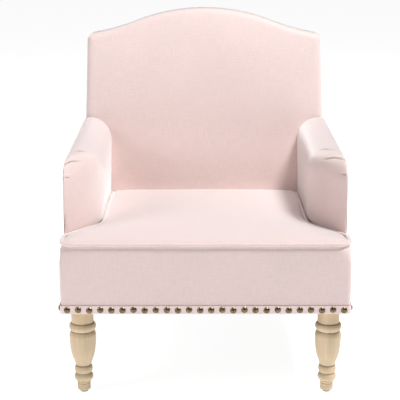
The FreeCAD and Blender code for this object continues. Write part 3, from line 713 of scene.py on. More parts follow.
def cloth_material(name, colour=None):
    """The linen on one piece, in the cover's colour unless another is given."""
    settings = bpy.context.scene.chair_cloth
    colour = settings.colour if colour is None else colour
    material, w, shader = blank_material(name)
    cloth = w.add("Group", node_tree=bpy.data.node_groups["slub_linen"])
    cloth.inputs["Colour"].default_value = (*colour, 1)
    cloth.inputs["Slub"].default_value = settings.slub
    cloth.inputs["Pitch"].default_value = settings.yarn
    # painted sheen: the colour is mixed towards white where the surface is seen edge on, standing in for
    # the linen's sheen
    sheen_share = w.steps(w.add("LayerWeight").outputs["Facing"], PAINTED_SHEEN_FROM, PAINTED_SHEEN_TO, 0.0, PAINTED_SHEEN)
    sheen_painted = w.mix(sheen_share, cloth.outputs["Colour"], PAINTED_SHEEN_COLOUR)
    # painted shade: the "crease" attribute darkens the colour along the pleats' creases
    crease = w.add("Attribute", attribute_name="crease").outputs["Fac"]
    crease_shade_colour = (*(c * c * CREASE_SHADE_TONE for c in colour), 1)
    w.join(w.mix(crease, sheen_painted, crease_shade_colour), shader.inputs["Base Color"])
    w.join(cloth.outputs["Roughness"], shader.inputs["Roughness"])
    w.join(w.bump(cloth.outputs["Height"], 0.25 * MM, 0.5), shader.inputs["Normal"])
    shader.inputs["Specular IOR Level"].default_value = 0.5
    shader.inputs["Sheen Weight"].default_value = 1.0
    shader.inputs["Sheen Roughness"].default_value = 0.45
    shader.inputs["Sheen Tint"].default_value = (1.0, 1.0, 1.0, 1)
    return material


def grain_group():
    """Wood grain along Z: rings, pores and streaks. The coordinates come in already turned."""
    group = new_group(
        "wood_grain",
        [
            ("Vector", "vector", None),
            ("Light", "colour", (0.7, 0.55, 0.36, 1)),
            ("Dark", "colour", (0.5, 0.36, 0.2, 1)),
            ("Strength", "float", 0.5),
        ],
        [("Colour", "colour", None), ("Height", "float", None), ("Roughness", "float", None)],
    )
    w = Wiring(group)
    source, result = group.nodes.new("NodeGroupInput"), group.nodes.new("NodeGroupOutput")
    vector = source.outputs["Vector"]
    rings = w.noise(vector, 1.0, 3.0, 0.55, stretch=(55, 55, 4))
    pores = w.noise(vector, 1.0, 4.0, 0.7, stretch=(900, 900, 30))
    streaks = w.noise(vector, 1.0, 2.0, 0.5, stretch=(240, 240, 7))
    tone = w.math("MULTIPLY_ADD", w.steps(rings, 0.35, 0.65), 0.5, w.math("MULTIPLY", streaks, 0.3))
    tone = w.math("MULTIPLY_ADD", w.steps(pores, 0.55, 0.75), 0.35, tone)
    amount = w.math("MULTIPLY", tone, source.outputs["Strength"], clamp=True)
    w.join(w.mix(amount, source.outputs["Light"], source.outputs["Dark"]), result.inputs["Colour"])
    raised = w.math("MULTIPLY", streaks, 0.3)
    w.join(w.math("MULTIPLY_ADD", pores, -0.5, raised), result.inputs["Height"])
    w.join(w.steps(tone, 0.0, 0.9, 0.42, 0.62), result.inputs["Roughness"])
    return group


def wood_material(name, light, dark, strength, turn="Z"):
    """Wood whose grain runs along X, Y or Z."""
    material, w, shader = blank_material(name)
    place = w.add("TexCoord").outputs["Object"]
    if turn != "Z":
        split = w.add("SeparateXYZ")
        w.join(place, split.inputs[0])
        order = {"X": (2, 1, 0), "Y": (0, 2, 1)}[turn]
        swapped = w.add("CombineXYZ")
        for index, axis in enumerate(order):
            w.join(split.outputs[axis], swapped.inputs[index])
        place = swapped.outputs[0]
    grain = w.add("Group", node_tree=bpy.data.node_groups["wood_grain"])
    w.join(place, grain.inputs["Vector"])
    grain.inputs["Light"].default_value = (*light, 1)
    grain.inputs["Dark"].default_value = (*dark, 1)
    grain.inputs["Strength"].default_value = strength
    w.join(grain.outputs["Colour"], shader.inputs["Base Color"])
    w.join(grain.outputs["Roughness"], shader.inputs["Roughness"])
    w.join(w.bump(grain.outputs["Height"], 0.3 * MM, 0.4), shader.inputs["Normal"])
    return material, w, shader, grain


def leg_wood(name, colour):
    """Pale washed wood with darker streaks, which both kinds of leg share."""
    return wood_material(name, colour, tuple(c * STREAK_TONE for c in colour), 0.6)


def washed_wood_material(colour):
    """The turned legs' wood, with dark glaze left in the grooves."""
    material, w, shader, grain = leg_wood("washed_wood", colour)
    height = w.add("SeparateXYZ")
    w.join(w.add("TexCoord").outputs["Object"], height.inputs[0])
    glaze = None
    for groove, width in GROOVES:
        away = w.math("ABSOLUTE", w.math("SUBTRACT", height.outputs[2], groove * MM))
        band = w.steps(away, 0.0, width * MM, 1.0, 0.0)
        glaze = band if glaze is None else w.math("MAXIMUM", glaze, band)
    patchy = w.noise(w.add("TexCoord").outputs["Object"], 70.0, 3.0, 0.6)
    glaze = w.math("MULTIPLY", glaze, w.steps(patchy, 0.25, 0.6, 0.55, 0.95))
    stained = w.mix(glaze, grain.outputs["Colour"], GLAZE_COLOUR)
    w.join(stained, shader.inputs["Base Color"])
    shader.inputs["Specular IOR Level"].default_value = 0.35
    return material


def bronze_material(colour):
    """Antique bronze, its dark patina and bright worn metal mottled at random."""
    material, w, shader = blank_material("antique_bronze")
    place = w.add("TexCoord").outputs["Object"]
    patina = w.noise(place, 260.0, 3.0, 0.6)
    mottled = w.steps(patina, 0.35, 0.68)
    dark = tuple(c * 0.30 for c in colour)
    w.join(w.mix(mottled, (*dark, 1), (*colour, 1)), shader.inputs["Base Color"])
    shader.inputs["Metallic"].default_value = 1.0
    w.join(w.steps(patina, 0.3, 0.7, 0.42, 0.24), shader.inputs["Roughness"])
    w.join(w.bump(patina, 0.15 * MM, 0.4), shader.inputs["Normal"])
    return material


def plain_material(name, colour, rough, grain_size, metallic=0.0, contrast=0.15, bump=0.1):
    """A finish with fine mottling: for foam, fibre, board, plastic and drawn or plated steel."""
    material, w, shader = blank_material(name)
    place = w.add("TexCoord").outputs["Object"]
    speck = w.noise(place, 1.0 / grain_size, 4.0, 0.65)
    low = tuple(c * (1 - contrast) for c in colour)
    high = tuple(min(1.0, c * (1 + contrast)) for c in colour)
    w.join(w.mix(w.steps(speck, 0.3, 0.7), (*low, 1), (*high, 1)), shader.inputs["Base Color"])
    w.join(w.steps(speck, 0.3, 0.7, rough - 0.08, rough + 0.08), shader.inputs["Roughness"])
    w.join(w.bump(speck, bump * MM, 0.5), shader.inputs["Normal"])
    shader.inputs["Metallic"].default_value = metallic
    return material


# ---- the padded forms, as distances that are negative inside ----
def smooth_step(value, low, high):
    """0 below low, 1 above high, and a soft S between them."""
    t = np.clip((value - low) / (high - low), 0, 1)
    return t * t * (3 - 2 * t)


def neck_climb(d):
    """How far the seat's edge and its welt rise along the neck, towards the back."""
    return NECK_CLIMB * smooth_step(d, CLIMB_FROM, CLIMB_TO)


def seat_inside(x, d, z):
    """The seat: its top rises softly from the welt and meets the back's face."""
    plan = seat_plan(x, d) + SEAT_TUCK
    rise = 1 - np.exp(np.minimum(plan, 0) / SEAT_SOFT)
    climb = neck_climb(d)
    top = WELT_Z + SEAT_STEP + climb + (bpy.context.scene.chair_cloth.seat_crown - climb) * rise
    body = round_and(plan, z - top, SEAT_EDGE_R)
    body = np.maximum(body, d - face_depth(z) - 3 * MM)
    return np.maximum(body, SEAT_UNDER - z)


def arm_front(x, z):
    """Depth of the arm's slanting front, which leans back a little as it rises."""
    slope = SLANT_RISE / SLANT_RUN
    return SLANT_IN[1] + ARM_BEHIND - (x - SLANT_IN[0]) * slope + ARM_LEAN * np.maximum(z - WELT_Z, 0)


def arm_outline(d, z):
    """Distance from the arm's outline seen from the side."""
    return round_and(arm_front(ARM_OUTER, z) - d, z - arm_top(d), ARM_ROLL_FRONT)


def arm_inside(x, d, z):
    """The right arm: inner wall, slanting front and sloping top, rolled over into each other."""
    inner, front = ARM_INNER - x, arm_front(x, z) - d
    roll = blend(smooth_step(inner - front, -25 * MM, 25 * MM), ARM_ROLL_FRONT, ARM_ROLL_SIDE)
    body = round_and(round_and(inner, front, ARM_CORNER_R), z - arm_top(d), roll)
    low = smooth_step(-arm_outline(d, z), ARM_WRAP, ARM_WRAP + 3 * MM)
    outer = x - ARM_OUTER + (ARM_OUTER - ARM_SIDE) * low
    body = round_and(body, outer, ARM_EDGE_R)
    body = np.maximum(body, d - face_depth(z) + 1 * MM)
    return np.maximum(body, WELT_Z - WELT_R - z)


def back_half_width(z):
    """Half the back's width: a little narrower at the shoulders."""
    shoulder = crest_height(SHOULDER_HALF)
    hip = arm_top(face_depth(z))
    share = np.clip((shoulder - z) / (shoulder - hip), 0, 1)
    return SHOULDER_HALF + (BACK_HALF - SHOULDER_HALF) * share


def camelback(x, z):
    """Distance from the back's outline seen from the front."""
    return round_and(np.abs(x) - back_half_width(z), z - crest_height(x), CORNER_R)


def back_swell(x, z):
    """How far the inside back's face stands out, less towards its edges and the arms."""
    over_arm = smooth_step(z, BACK_ARM_Z - 50 * MM, BACK_ARM_Z + 30 * MM)
    half = ARM_INNER + (SHOULDER_HALF - ARM_INNER) * over_arm
    across = 1 - np.clip(np.abs(x) / half, 0, 1) ** 4
    up = smooth_step(z, SEAT_TOP - 30 * MM, SEAT_TOP + 130 * MM)
    down = smooth_step(crest_height(x) - z, 0, 110 * MM)
    return bpy.context.scene.chair_cloth.back_crown * across * up * down


def back_inside(x, d, z):
    """The inside back with its boxing: a soft face, rolled edges and a square rear edge."""
    slope = math.cos(math.atan(FACE_TILT))
    face = (face_depth(z) - back_swell(x, z) - d) * slope
    body = round_and(camelback(x, z), face, BACK_ROLL)
    rear = (d - outside_depth(z) + 2.5 * MM) * math.cos(math.atan(OUTSIDE_TILT))
    body = round_and(body, rear, 6 * MM)
    return np.maximum(body, BACK_UNDER - z)


def side_panel_inside(x, d, z):
    """The right outside panel, from the arm's wrapped edge down to the band."""
    outline = arm_outline(d, z) + ARM_WRAP + 0.5 * MM
    outline = np.maximum(outline, d - outside_depth(z) + 3 * MM)
    outline = np.maximum(outline, BASE_BOTTOM - BAND_HEM - z)
    plate = round_and(outline, x - BODY_HALF, 3.5 * MM)
    return np.maximum(plate, ARM_SIDE + 0.3 * MM - x)


def outside_back_inside(x, d, z):
    """The outside back panel, set in a little from the boxing's rear edge."""
    inset = OUTSIDE_INSET * smooth_step(z, ARM_TOP_FRONT + 20 * MM, ARM_TOP_FRONT + 50 * MM)
    side = np.abs(x) - BODY_HALF + 2 * MM + inset
    edge = round_and(side, z - crest_height(x) + OUTSIDE_INSET, CORNER_R)
    edge = np.maximum(edge, camelback(x, z) + OUTSIDE_INSET - 10 * (z < ARM_TOP_FRONT + 35 * MM))
    out = (d - outside_depth(z) - 1.0 * MM) * math.cos(math.atan(OUTSIDE_TILT))
    plate = round_and(edge, out, 3.5 * MM)
    plate = np.maximum(plate, outside_depth(z) - 3.0 * MM - d)
    return np.maximum(plate, BASE_BOTTOM - BAND_HEM - z)


# ---- the cover's pieces ----
def blend(share, a, b):
    return a + (b - a) * share


def seat_half(d):
    """Half the T-shaped seat's width at a depth, for laying out its mesh."""
    slanted = SLANT_IN[0] - (d - SLANT_IN[1]) * SLANT_RUN / SLANT_RISE
    return np.clip(slanted, NECK_HALF, SEAT_HALF)


def seat_warp(x, d, z):
    """Narrows the seat's box to the T."""
    return x * seat_half(d) / SEAT_HALF, d, z


def make_seat():
    """The tight seat: foam, wadding and cover, stuffed so that its top crowns."""
    rear = face_depth(SEAT_TOP) + 6 * MM
    obj = shaped(
        "seat_cushion",
        (-SEAT_HALF, SEAT_FRONT, SEAT_UNDER), (SEAT_HALF, rear, SEAT_TOP + 14 * MM),
        (-SEAT_HALF + 60 * MM, SEAT_FRONT + 60 * MM, 385 * MM),
        (SEAT_HALF - 60 * MM, rear - 20 * MM, 392 * MM),
        seat_inside, SEAT_FINE, seat_warp,
    )
    co = coords(obj)
    x, d, z = places(co)
    on_top = smooth_step(z, WELT_Z + 2 * MM, WELT_Z + 7 * MM)
    on_top = on_top * smooth_step(-seat_plan(x, d), 8 * MM, 30 * MM)
    puffed(obj, 1 - on_top, cap=6 * MM)
    subdivided(obj)
    co = coords(obj)
    x, d, z = places(co)
    plan = -seat_plan(x, d)
    top = smooth_step(z, WELT_Z + 1 * MM, WELT_Z + 8 * MM)
    near_edge = np.exp(-np.abs(plan - 16 * MM) / (14 * MM)) * top
    waves = ripple(co * (1, 1, 0), 46 * MM, 3) * 0.9 * MM * near_edge
    broad = ripple(co * (1, 1, 0), 190 * MM, 5) * 2.0 * MM * top * smooth_step(plan, 10 * MM, 60 * MM)
    co[:, 2] += waves + broad
    set_coords(obj, co)
    return obj


def welt_path(inset, count):
    """The plan line of the welt: along the left arm, round the front, and back along the right arm."""
    shift = inset * math.hypot(SLANT_RUN, SLANT_RISE) / SLANT_RISE
    neck, half = NECK_HALF - inset, SEAT_HALF - inset
    slope = SLANT_RISE / SLANT_RUN
    neck_d = SLANT_IN[1] + (SLANT_IN[0] - shift - neck) * slope
    ear_d = SLANT_IN[1] + (SLANT_IN[0] - shift - half) * slope
    rear = face_depth(WELT_Z) - 3 * MM
    front = SEAT_FRONT + inset
    right = [
        (half, front, FRONT_CORNER_R - inset), (half, ear_d, EAR_R),
        (neck, neck_d, 80 * MM), (neck, rear, 0),
    ]
    left = [(-x, d, r) for x, d, r in reversed(right)]
    return rounded_path(left + right, count)


def make_welt():
    """Piping round the seat: bias-cut linen over a cord, slightly wavy, with fine twists along it."""
    path = welt_path(WELT_R, 560)

    def section(along, across):
        turn = across * 2 * math.pi
        sway = np.sin(along * 61) * 0.5 * MM + np.sin(along * 143 + 1) * 0.3 * MM
        size = WELT_R * (1 + 0.05 * np.sin(along * 330 + 2))
        return size * np.cos(turn), WELT_Z + sway + size * np.sin(turn), np.zeros_like(along)

    obj = swept("seat_welt_piping", 14, section, path)
    co = coords(obj)
    co[:, 2] += neck_climb(places(co)[1])
    set_coords(obj, co)
    return obj


def make_apron():
    """The panel under the seat's front edge. It wraps both corners and is pulled in at the band."""
    rear = SIDE_SEAM + 2 * MM
    low, high = BASE_BOTTOM - 2 * MM, WELT_Z - WELT_R + 2 * MM
    paths = []
    for r in (12 * MM, 34 * MM):
        half = BODY_HALF
        corners = [(-half, rear, 0), (-half, BORDER_FRONT, r), (half, BORDER_FRONT, r), (half, rear, 0)]
        paths.append(rounded_path(corners, 240))

    def section(along, across):
        up = np.minimum(across, 1 - across) * 2
        outer = across < 0.5
        tuck = 1.6 * MM * (1 - smooth_step(up, 0.0, 0.35)) + 6 * MM * smooth_step(up, 0.90, 1.0)
        out = np.where(outer, -tuck, -tuck - 2 * MM)
        return out, blend(up, low, high), smooth_step(up, 0.70, 1.0)

    obj = swept("front_apron", 64, section, *paths)
    co = coords(obj)
    n = normals(obj)
    front = smooth_step(-co[:, 1], -SEAT_FRONT_Y - 60 * MM, -SEAT_FRONT_Y - 20 * MM)
    up = (co[:, 2] - low) / (high - low)
    free = np.sin(np.clip(up, 0, 1) * math.pi)
    soft = ripple(co, 130 * MM, 7) * 1.4 * MM * free
    gathered = smooth_step(up, 0.80, 0.97) + 0.4 * (1 - up)
    tight = ripple(co * (1, 1, 0.3), 26 * MM, 9) * 0.5 * MM * gathered
    co += n * ((soft + tight) * (0.3 + 0.7 * front))[:, None]
    set_coords(obj, co)
    return obj


def arm_warp(x, d, z):
    """Slants the arm's box at the front, slopes its top and leans its rear to the back's face."""
    front = SLANT_OUT[1] + (SLANT_OUT[0] - x) * SLANT_RISE / SLANT_RUN
    share = (d - ARM_BOX_FRONT) / (ARM_BOX_REAR - ARM_BOX_FRONT)
    new_d = blend(share, front, face_depth(z) + 4 * MM)
    up = (z - WELT_Z) / (ARM_BOX_TOP - WELT_Z)
    return x, new_d, WELT_Z + up * (arm_top(new_d) - WELT_Z)


def make_arm():
    """The right arm: foam and cover over the frame, stuffed and pulled down at its outer edge."""
    low = (ARM_INNER, ARM_BOX_FRONT, WELT_Z - WELT_R)
    high = (ARM_OUTER, ARM_BOX_REAR, ARM_BOX_TOP)
    obj = shaped(
        "right_arm_pad", low, high,
        (ARM_OUTER - 30 * MM, ARM_BOX_FRONT + 62 * MM, WELT_Z + 8 * MM),
        (ARM_OUTER - 14 * MM, ARM_BOX_REAR - 14 * MM, ARM_BOX_TOP - 66 * MM),
        arm_inside, ARM_FINE, arm_warp,
    )
    co = coords(obj)
    x, d, z = places(co)
    free = smooth_step(ARM_OUTER - x, 6 * MM, 26 * MM) * smooth_step(z, WELT_Z + 6 * MM, WELT_Z + 50 * MM)
    free *= smooth_step(face_depth(z) - d, 6 * MM, 40 * MM)
    puffed(obj, 1 - free, cap=5 * MM)
    subdivided(obj)
    return obj


def pleats(obj, folds):
    """Presses pleats into a piece.

    Each fold is a few points (x, depth, z) along its crease, how deep it is and how wide. The cloth dips
    along the crease and stands up in a soft lip above it. Shade is painted along each crease, in the
    "crease" attribute, which darkens the cloth's colour there.
    """
    reach = 26 * MM
    lines = []
    for points, deep, wide in folds:
        lines.append((np.array([(x, at(d), z) for x, d, z in points]), deep, wide))
    bm = bmesh.new()
    bm.from_mesh(obj.data)
    for _ in range(2):
        edges = list(bm.edges)
        middles = np.array([(e.verts[0].co + e.verts[1].co) / 2 for e in edges])
        gaps = np.min([line_distance(middles, line)[0] for line, _, _ in lines], axis=0)
        near = [edge for edge, gap in zip(edges, gaps) if gap < reach / 2]
        bmesh.ops.subdivide_edges(bm, edges=near, cuts=1, use_grid_fill=True, smooth=0)
    bmesh.ops.triangulate(bm, faces=[f for f in bm.faces if len(f.verts) > 4])
    for face in bm.faces:
        face.smooth = True
    bm.to_mesh(obj.data)
    bm.free()
    co = coords(obj)
    n = normals(obj)
    # painted shade: dark holds how strongly shade is painted along each crease, stored in the "crease"
    # attribute
    dark = np.zeros(len(co))
    for line, deep, wide in lines:
        away, share, above = line_distance(co, line)
        fade = np.sin(np.clip(share, 0.02, 0.98) * math.pi) ** 0.6
        crease = -np.exp(-((above / wide) ** 2))
        lip = 0.75 * np.exp(-(((above - 1.9 * wide) / (1.6 * wide)) ** 2))
        close = np.exp(-((np.sqrt(np.maximum(away ** 2 - above ** 2, 0)) / (2 * wide)) ** 2))
        co += n * (deep * fade * (crease + lip) * close * (away < reach))[:, None]
        dark = np.maximum(dark, CREASE_SHADE_DEPTH * fade * np.exp(-((above / (0.55 * wide)) ** 2)) * close)
    set_coords(obj, co)
    obj.data.attributes.new("crease", "FLOAT", "POINT").data.foreach_set("value", dark)


def line_distance(points, line):
    """Each point's distance from a polyline, its place along it from 0 to 1, and its height over it."""
    best = np.full(len(points), 1e9)
    share = np.zeros(len(points))
    above = np.zeros(len(points))
    pieces = len(line) - 1
    for index, (a, b) in enumerate(zip(line[:-1], line[1:])):
        way = b - a
        t = np.clip((points - a) @ way / (way @ way), 0, 1)
        gap = points - a - t[:, None] * way
        far = np.linalg.norm(gap, axis=1)
        nearer = far < best
        best = np.where(nearer, far, best)
        share = np.where(nearer, (index + t) / pieces, share)
        above = np.where(nearer, gap[:, 2], above)
    return best, share, above


def back_warp(x, d, z):
    """Bends the back's box to the camelback outline and its two raked faces."""
    up = (z - BACK_UNDER) / (BACK_TOP - BACK_UNDER)
    new_z = blend(up, BACK_UNDER, crest_height(np.clip(x, -SHOULDER_HALF, SHOULDER_HALF)))
    return x, blend(d / BACK_DEEP, face_depth(new_z), outside_depth(new_z)), new_z


def make_back():
    """The inside back: foam and cover with its boxing, stuffed so that its face stands out."""
    obj = shaped(
        "back_cushion",
        (-BACK_HALF, 0, BACK_UNDER), (BACK_HALF, BACK_DEEP, BACK_TOP),
        (-BACK_HALF + 36 * MM, 0.3 * BACK_DEEP, SEAT_TOP + 20 * MM),
        (BACK_HALF - 36 * MM, 0.85 * BACK_DEEP, BACK_TOP - 36 * MM),
        back_inside, BACK_FINE, back_warp,
    )
    co = coords(obj)
    x, d, z = places(co)
    edge = -camelback(x, z)
    front = smooth_step(face_depth(z) + 30 * MM - d, 0, 20 * MM)
    free = smooth_step(edge, 12 * MM, 45 * MM) * front
    free *= smooth_step(z, SEAT_TOP + 4 * MM, SEAT_TOP + 40 * MM)
    puffed(obj, 1 - free, cap=6 * MM)
    subdivided(obj)
    co = coords(obj)
    n = normals(obj)
    x, d, z = places(co)
    front = smooth_step(face_depth(z) + 30 * MM - d, 0, 20 * MM)
    broad = ripple(co * (1, 0.2, 1), 210 * MM, 11) * 1.6 * MM
    co += n * (broad * front * smooth_step(-camelback(x, z), 10 * MM, 50 * MM))[:, None]
    set_coords(obj, co)
    return obj


def side_warp(x, d, z):
    """Slopes the side panel's box to the arm's top line and leans its rear edge."""
    rear = outside_depth(z) - 3 * MM
    new_d = blend((d - SIDE_SEAM) / (PANEL_REAR - SIDE_SEAM), SIDE_SEAM, rear)
    up = (z - BASE_BOTTOM) / (ARM_BOX_TOP - BASE_BOTTOM)
    return x, new_d, BASE_BOTTOM + up * (arm_top(new_d) - ARM_WRAP - BASE_BOTTOM)


def make_side_panel():
    """The right outside panel: cloth stretched over the frame from the arm's edge down to the band."""
    return shaped(
        "right_outside_arm",
        (ARM_SIDE, SIDE_SEAM, BASE_BOTTOM - BAND_HEM), (BODY_HALF, PANEL_REAR, ARM_BOX_TOP),
        (ARM_SIDE + 1.5 * MM, SIDE_SEAM + 60 * MM, BASE_BOTTOM + 40 * MM),
        (BODY_HALF - 1.5 * MM, PANEL_REAR - 30 * MM, ARM_BOX_TOP - 90 * MM),
        side_panel_inside, SIDE_FINE, side_warp,
    )


def outside_back_warp(x, d, z):
    """Bends the outside back's box to the crest and the rake."""
    up = (z - BASE_BOTTOM) / (BACK_TOP - BASE_BOTTOM)
    new_z = blend(up, BASE_BOTTOM, crest_height(np.clip(x, -SHOULDER_HALF, SHOULDER_HALF)))
    return x, outside_depth(new_z) + d, new_z


def make_outside_back():
    """The outside back: one cloth panel, stretched and hand-sewn round its edge."""
    return shaped(
        "outside_back_panel",
        (-BODY_HALF, -3 * MM, BASE_BOTTOM - BAND_HEM), (BODY_HALF, 1 * MM, BACK_TOP),
        (-BODY_HALF + 50 * MM, -1.5 * MM, BASE_BOTTOM + 40 * MM),
        (BODY_HALF - 50 * MM, -0.5 * MM, BACK_TOP - 50 * MM),
        outside_back_inside, OUTSIDE_FINE, outside_back_warp,
    )


def band_path(count, out=0.0):
    """The plan line of the band: along the left side, round the front and along the right side."""
    half, front, rear = BODY_HALF + out, BORDER_FRONT - out, outside_depth(BASE_BOTTOM) - 3 * MM
    r = 12 * MM + out
    return rounded_path([(-half, rear, 0), (-half, front, r), (half, front, r), (half, rear, 0)], count)


def make_band():
    """The nailed band: a folded strip that puffs a little between the nails."""
    middle = (BAND_LOW.z + BAND_HIGH.z) / 2
    half = (BAND_HIGH.z - BAND_LOW.z) / 2
    path = band_path(900)
    length = np.linalg.norm(np.diff(path, axis=0), axis=1).sum()

    def section(along, across):
        turn = across * 2 * math.pi
        distance = (along - 0.5) * length
        between = 0.5 - 0.5 * np.cos(2 * math.pi * (distance / NAIL_PITCH + 0.5))
        up = np.clip(np.sin(turn) * 1.25, -1, 1)
        skin = np.clip(np.cos(turn) * 2.2, -1, 1)
        out = 0.85 * MM + skin * 0.75 * MM + (skin > 0) * (0.7 * MM * between * (1 - up ** 2) - 0.2 * MM)
        wave = 0.35 * MM * np.sin(distance * 93) + 0.25 * MM * np.sin(distance * 231 + 1)
        height = middle + up * (half - 0.3 * MM * (1 - between)) + wave * 0.5
        return out, height, np.zeros_like(along)

    return swept("nailed_band", 16, section, path)


def make_stitches():
    """The row of stitches just over the band."""
    path = band_path(STITCHES, 0.5 * MM)
    out = outward(path)
    one = bmesh.new()
    bmesh.ops.create_uvsphere(one, u_segments=6, v_segments=4, radius=0.5)
    bmesh.ops.scale(one, vec=(2.1 * MM, 0.9 * MM, 0.8 * MM), verts=one.verts)
    stitch = bpy.data.meshes.new("stitch")
    one.to_mesh(stitch)
    one.free()
    bm = bmesh.new()
    for (x, d), (nx, nd) in zip(path[1:-1], out[1:-1]):
        placed = stitch.copy()
        place = Matrix.Translation((x, at(d), BAND_HIGH.z + 0.7 * MM))
        placed.transform(place @ Matrix.Rotation(math.atan2(nx, -nd), 4, "Z"))
        bm.from_mesh(placed)
        bpy.data.meshes.remove(placed)
    return finished(bm, "band_stitches")


def make_dust_cover():
    """Black cambric under the seat, which sags a little between its staples."""
    low, high = DUST_LOW, DUST_HIGH
    bm = bmesh.new()
    bmesh.ops.create_grid(bm, x_segments=60, y_segments=56, size=0.5)
    for vert in bm.verts:
        u, v = vert.co.x + 0.5, vert.co.y + 0.5
        slack = (16 * u * (1 - u) * v * (1 - v)) ** 2
        folds = noise.noise(Vector((u * 9, v * 9, 4.0))) * 0.7 * MM * min(1, 6 * min(u, 1 - u, v, 1 - v))
        drop = 5 * MM * slack + abs(folds)
        vert.co = (blend(u, low.x, high.x), blend(v, low.y, high.y), high.z - 0.3 * MM - drop)
    obj = finished(bm, "dust_cover_cambric")
    thickened(obj, 0.4 * MM)
    return obj


def thickened(obj, thickness):
    """Gives a sheet its thickness."""
    modifier = obj.modifiers.new("thickness", "SOLIDIFY")
    modifier.thickness = thickness
    modifier.offset = 0
    apply_modifiers(obj)


def make_deck_cloth():
    """Cloth tacked over the springs, which dips a little between them."""
    low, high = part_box("deck_cloth")
    bm = bmesh.new()
    bmesh.ops.create_grid(bm, x_segments=80, y_segments=60, size=0.5)
    for vert in bm.verts:
        u, v = vert.co.x + 0.5, vert.co.y + 0.5
        x = blend(u, low.x, high.x)
        between = math.sin(math.pi * x / SPRING_GAP) ** 2
        dip = 2.5 * MM * between * min(1, 8 * min(v, 1 - v))
        crease = noise.noise(Vector((u * 14, v * 5, 1.0))) * 0.4 * MM
        vert.co = (x, blend(v, low.y, high.y), high.z - 0.4 * MM - dip - abs(crease))
    obj = finished(bm, "deck_sheet")
    thickened(obj, 0.8 * MM)
    return obj


def make_webbing():
    """Elastic straps on the back frame, three across in front of four upright, as woven bands."""
    low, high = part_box("back_webbing")
    bm = bmesh.new()
    straps = [((0, z), True) for z in STRAPS_ACROSS_Z]
    straps += [((x, (low.z + high.z) / 2), False) for x in STRAPS_UPRIGHT_X]
    for (x, z), across in straps:
        length = (high.x - low.x) if across else (high.z - low.z)
        made = bmesh.ops.create_grid(bm, x_segments=48, y_segments=4, size=0.5)
        for vert in made["verts"]:
            u, v = vert.co.x * length, vert.co.y * STRAP_WIDE
            px, pz = (x + u, z + v) if across else (x + v, z + u)
            behind = -STRAP_THICK / 2 if across else STRAP_THICK / 2
            front = outside_depth(pz) - POST_DEEP - (1.6 * MM if across else -11 * MM)
            vert.co = (px, at(front + behind), pz)
    obj = finished(bm, "back_straps")
    thickened(obj, STRAP_THICK)
    return obj


# ---- one operator for each piece or group of like pieces ----
def finish_node(name, material):
    """Gives a CAD node that stays as it is a better finish."""
    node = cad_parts[name]
    node.data.materials.clear()
    node.data.materials.append(material)


class ARMCHAIR_OT_seat(bpy.types.Operator):
    """Adds the seat cushion"""

    bl_idname = "armchair.seat"
    bl_label = "Seat"

    def execute(self, context):
        material = cloth_material("seat_linen")
        add_part(make_seat(), material, ("seat_cover", "seat_wadding", "seat_foam"))
        return {"FINISHED"}


class ARMCHAIR_OT_welt(bpy.types.Operator):
    """Adds the piping round the seat"""

    bl_idname = "armchair.welt"
    bl_label = "Welt"

    def execute(self, context):
        material = cloth_material("welt_linen")
        add_part(make_welt(), material, ("seat_welt",))
        return {"FINISHED"}


class ARMCHAIR_OT_apron(bpy.types.Operator):
    """Adds the panel under the seat's front edge"""

    bl_idname = "armchair.apron"
    bl_label = "Apron"

    def execute(self, context):
        material = cloth_material("apron_linen")
        apron = add_part(make_apron(), material, ("front_border",))
        return {"FINISHED"}


class ARMCHAIR_OT_arms(bpy.types.Operator):
    """Adds both arms, each with its own pleats"""

    bl_idname = "armchair.arms"
    bl_label = "Arms"

    def execute(self, context):
        material = cloth_material("arm_linen")
        right = make_arm()
        left = mirrored_copy(right, "left_arm_pad")
        pleats(right, RIGHT_PLEATS)
        mirrored = []
        for line, deep, wide in LEFT_PLEATS:
            mirrored.append(([(-x, d, z) for x, d, z in line], deep, wide))
        pleats(left, mirrored)
        for side, obj in (("left", left), ("right", right)):
            add_part(obj, material, (side + "_arm_cover", side + "_arm_foam"))
        return {"FINISHED"}


class ARMCHAIR_OT_back(bpy.types.Operator):
    """Adds the inside back"""

    bl_idname = "armchair.back"
    bl_label = "Inside back"

    def execute(self, context):
        material = cloth_material("back_linen")
        add_part(make_back(), material, ("back_cover", "back_foam"))
        return {"FINISHED"}


class ARMCHAIR_OT_outside(bpy.types.Operator):
    """Adds the outside panels at the sides and the back"""

    bl_idname = "armchair.outside"
    bl_label = "Outside panels"

    def execute(self, context):
        material = cloth_material("outside_linen")
        right = make_side_panel()
        left = mirrored_copy(right, "left_outside_arm")
        for side, obj in (("left", left), ("right", right)):
            add_part(obj, material, (side + "_side_panel",))
        back = add_part(make_outside_back(), material, ("outside_back",))
        return {"FINISHED"}


class ARMCHAIR_OT_band(bpy.types.Operator):
    """Adds the nailed band and the stitches over it"""

    bl_idname = "armchair.band"
    bl_label = "Band"

    def execute(self, context):
        material = cloth_material("band_linen", context.scene.chair_cloth.trim_colour)
        band = add_part(make_band(), material, ("trim_band",))
        thread = plain_material("stitch_thread", (0.50, 0.30, 0.28), 0.8, 1.5 * MM)
        add_part(make_stitches(), thread)
        return {"FINISHED"}


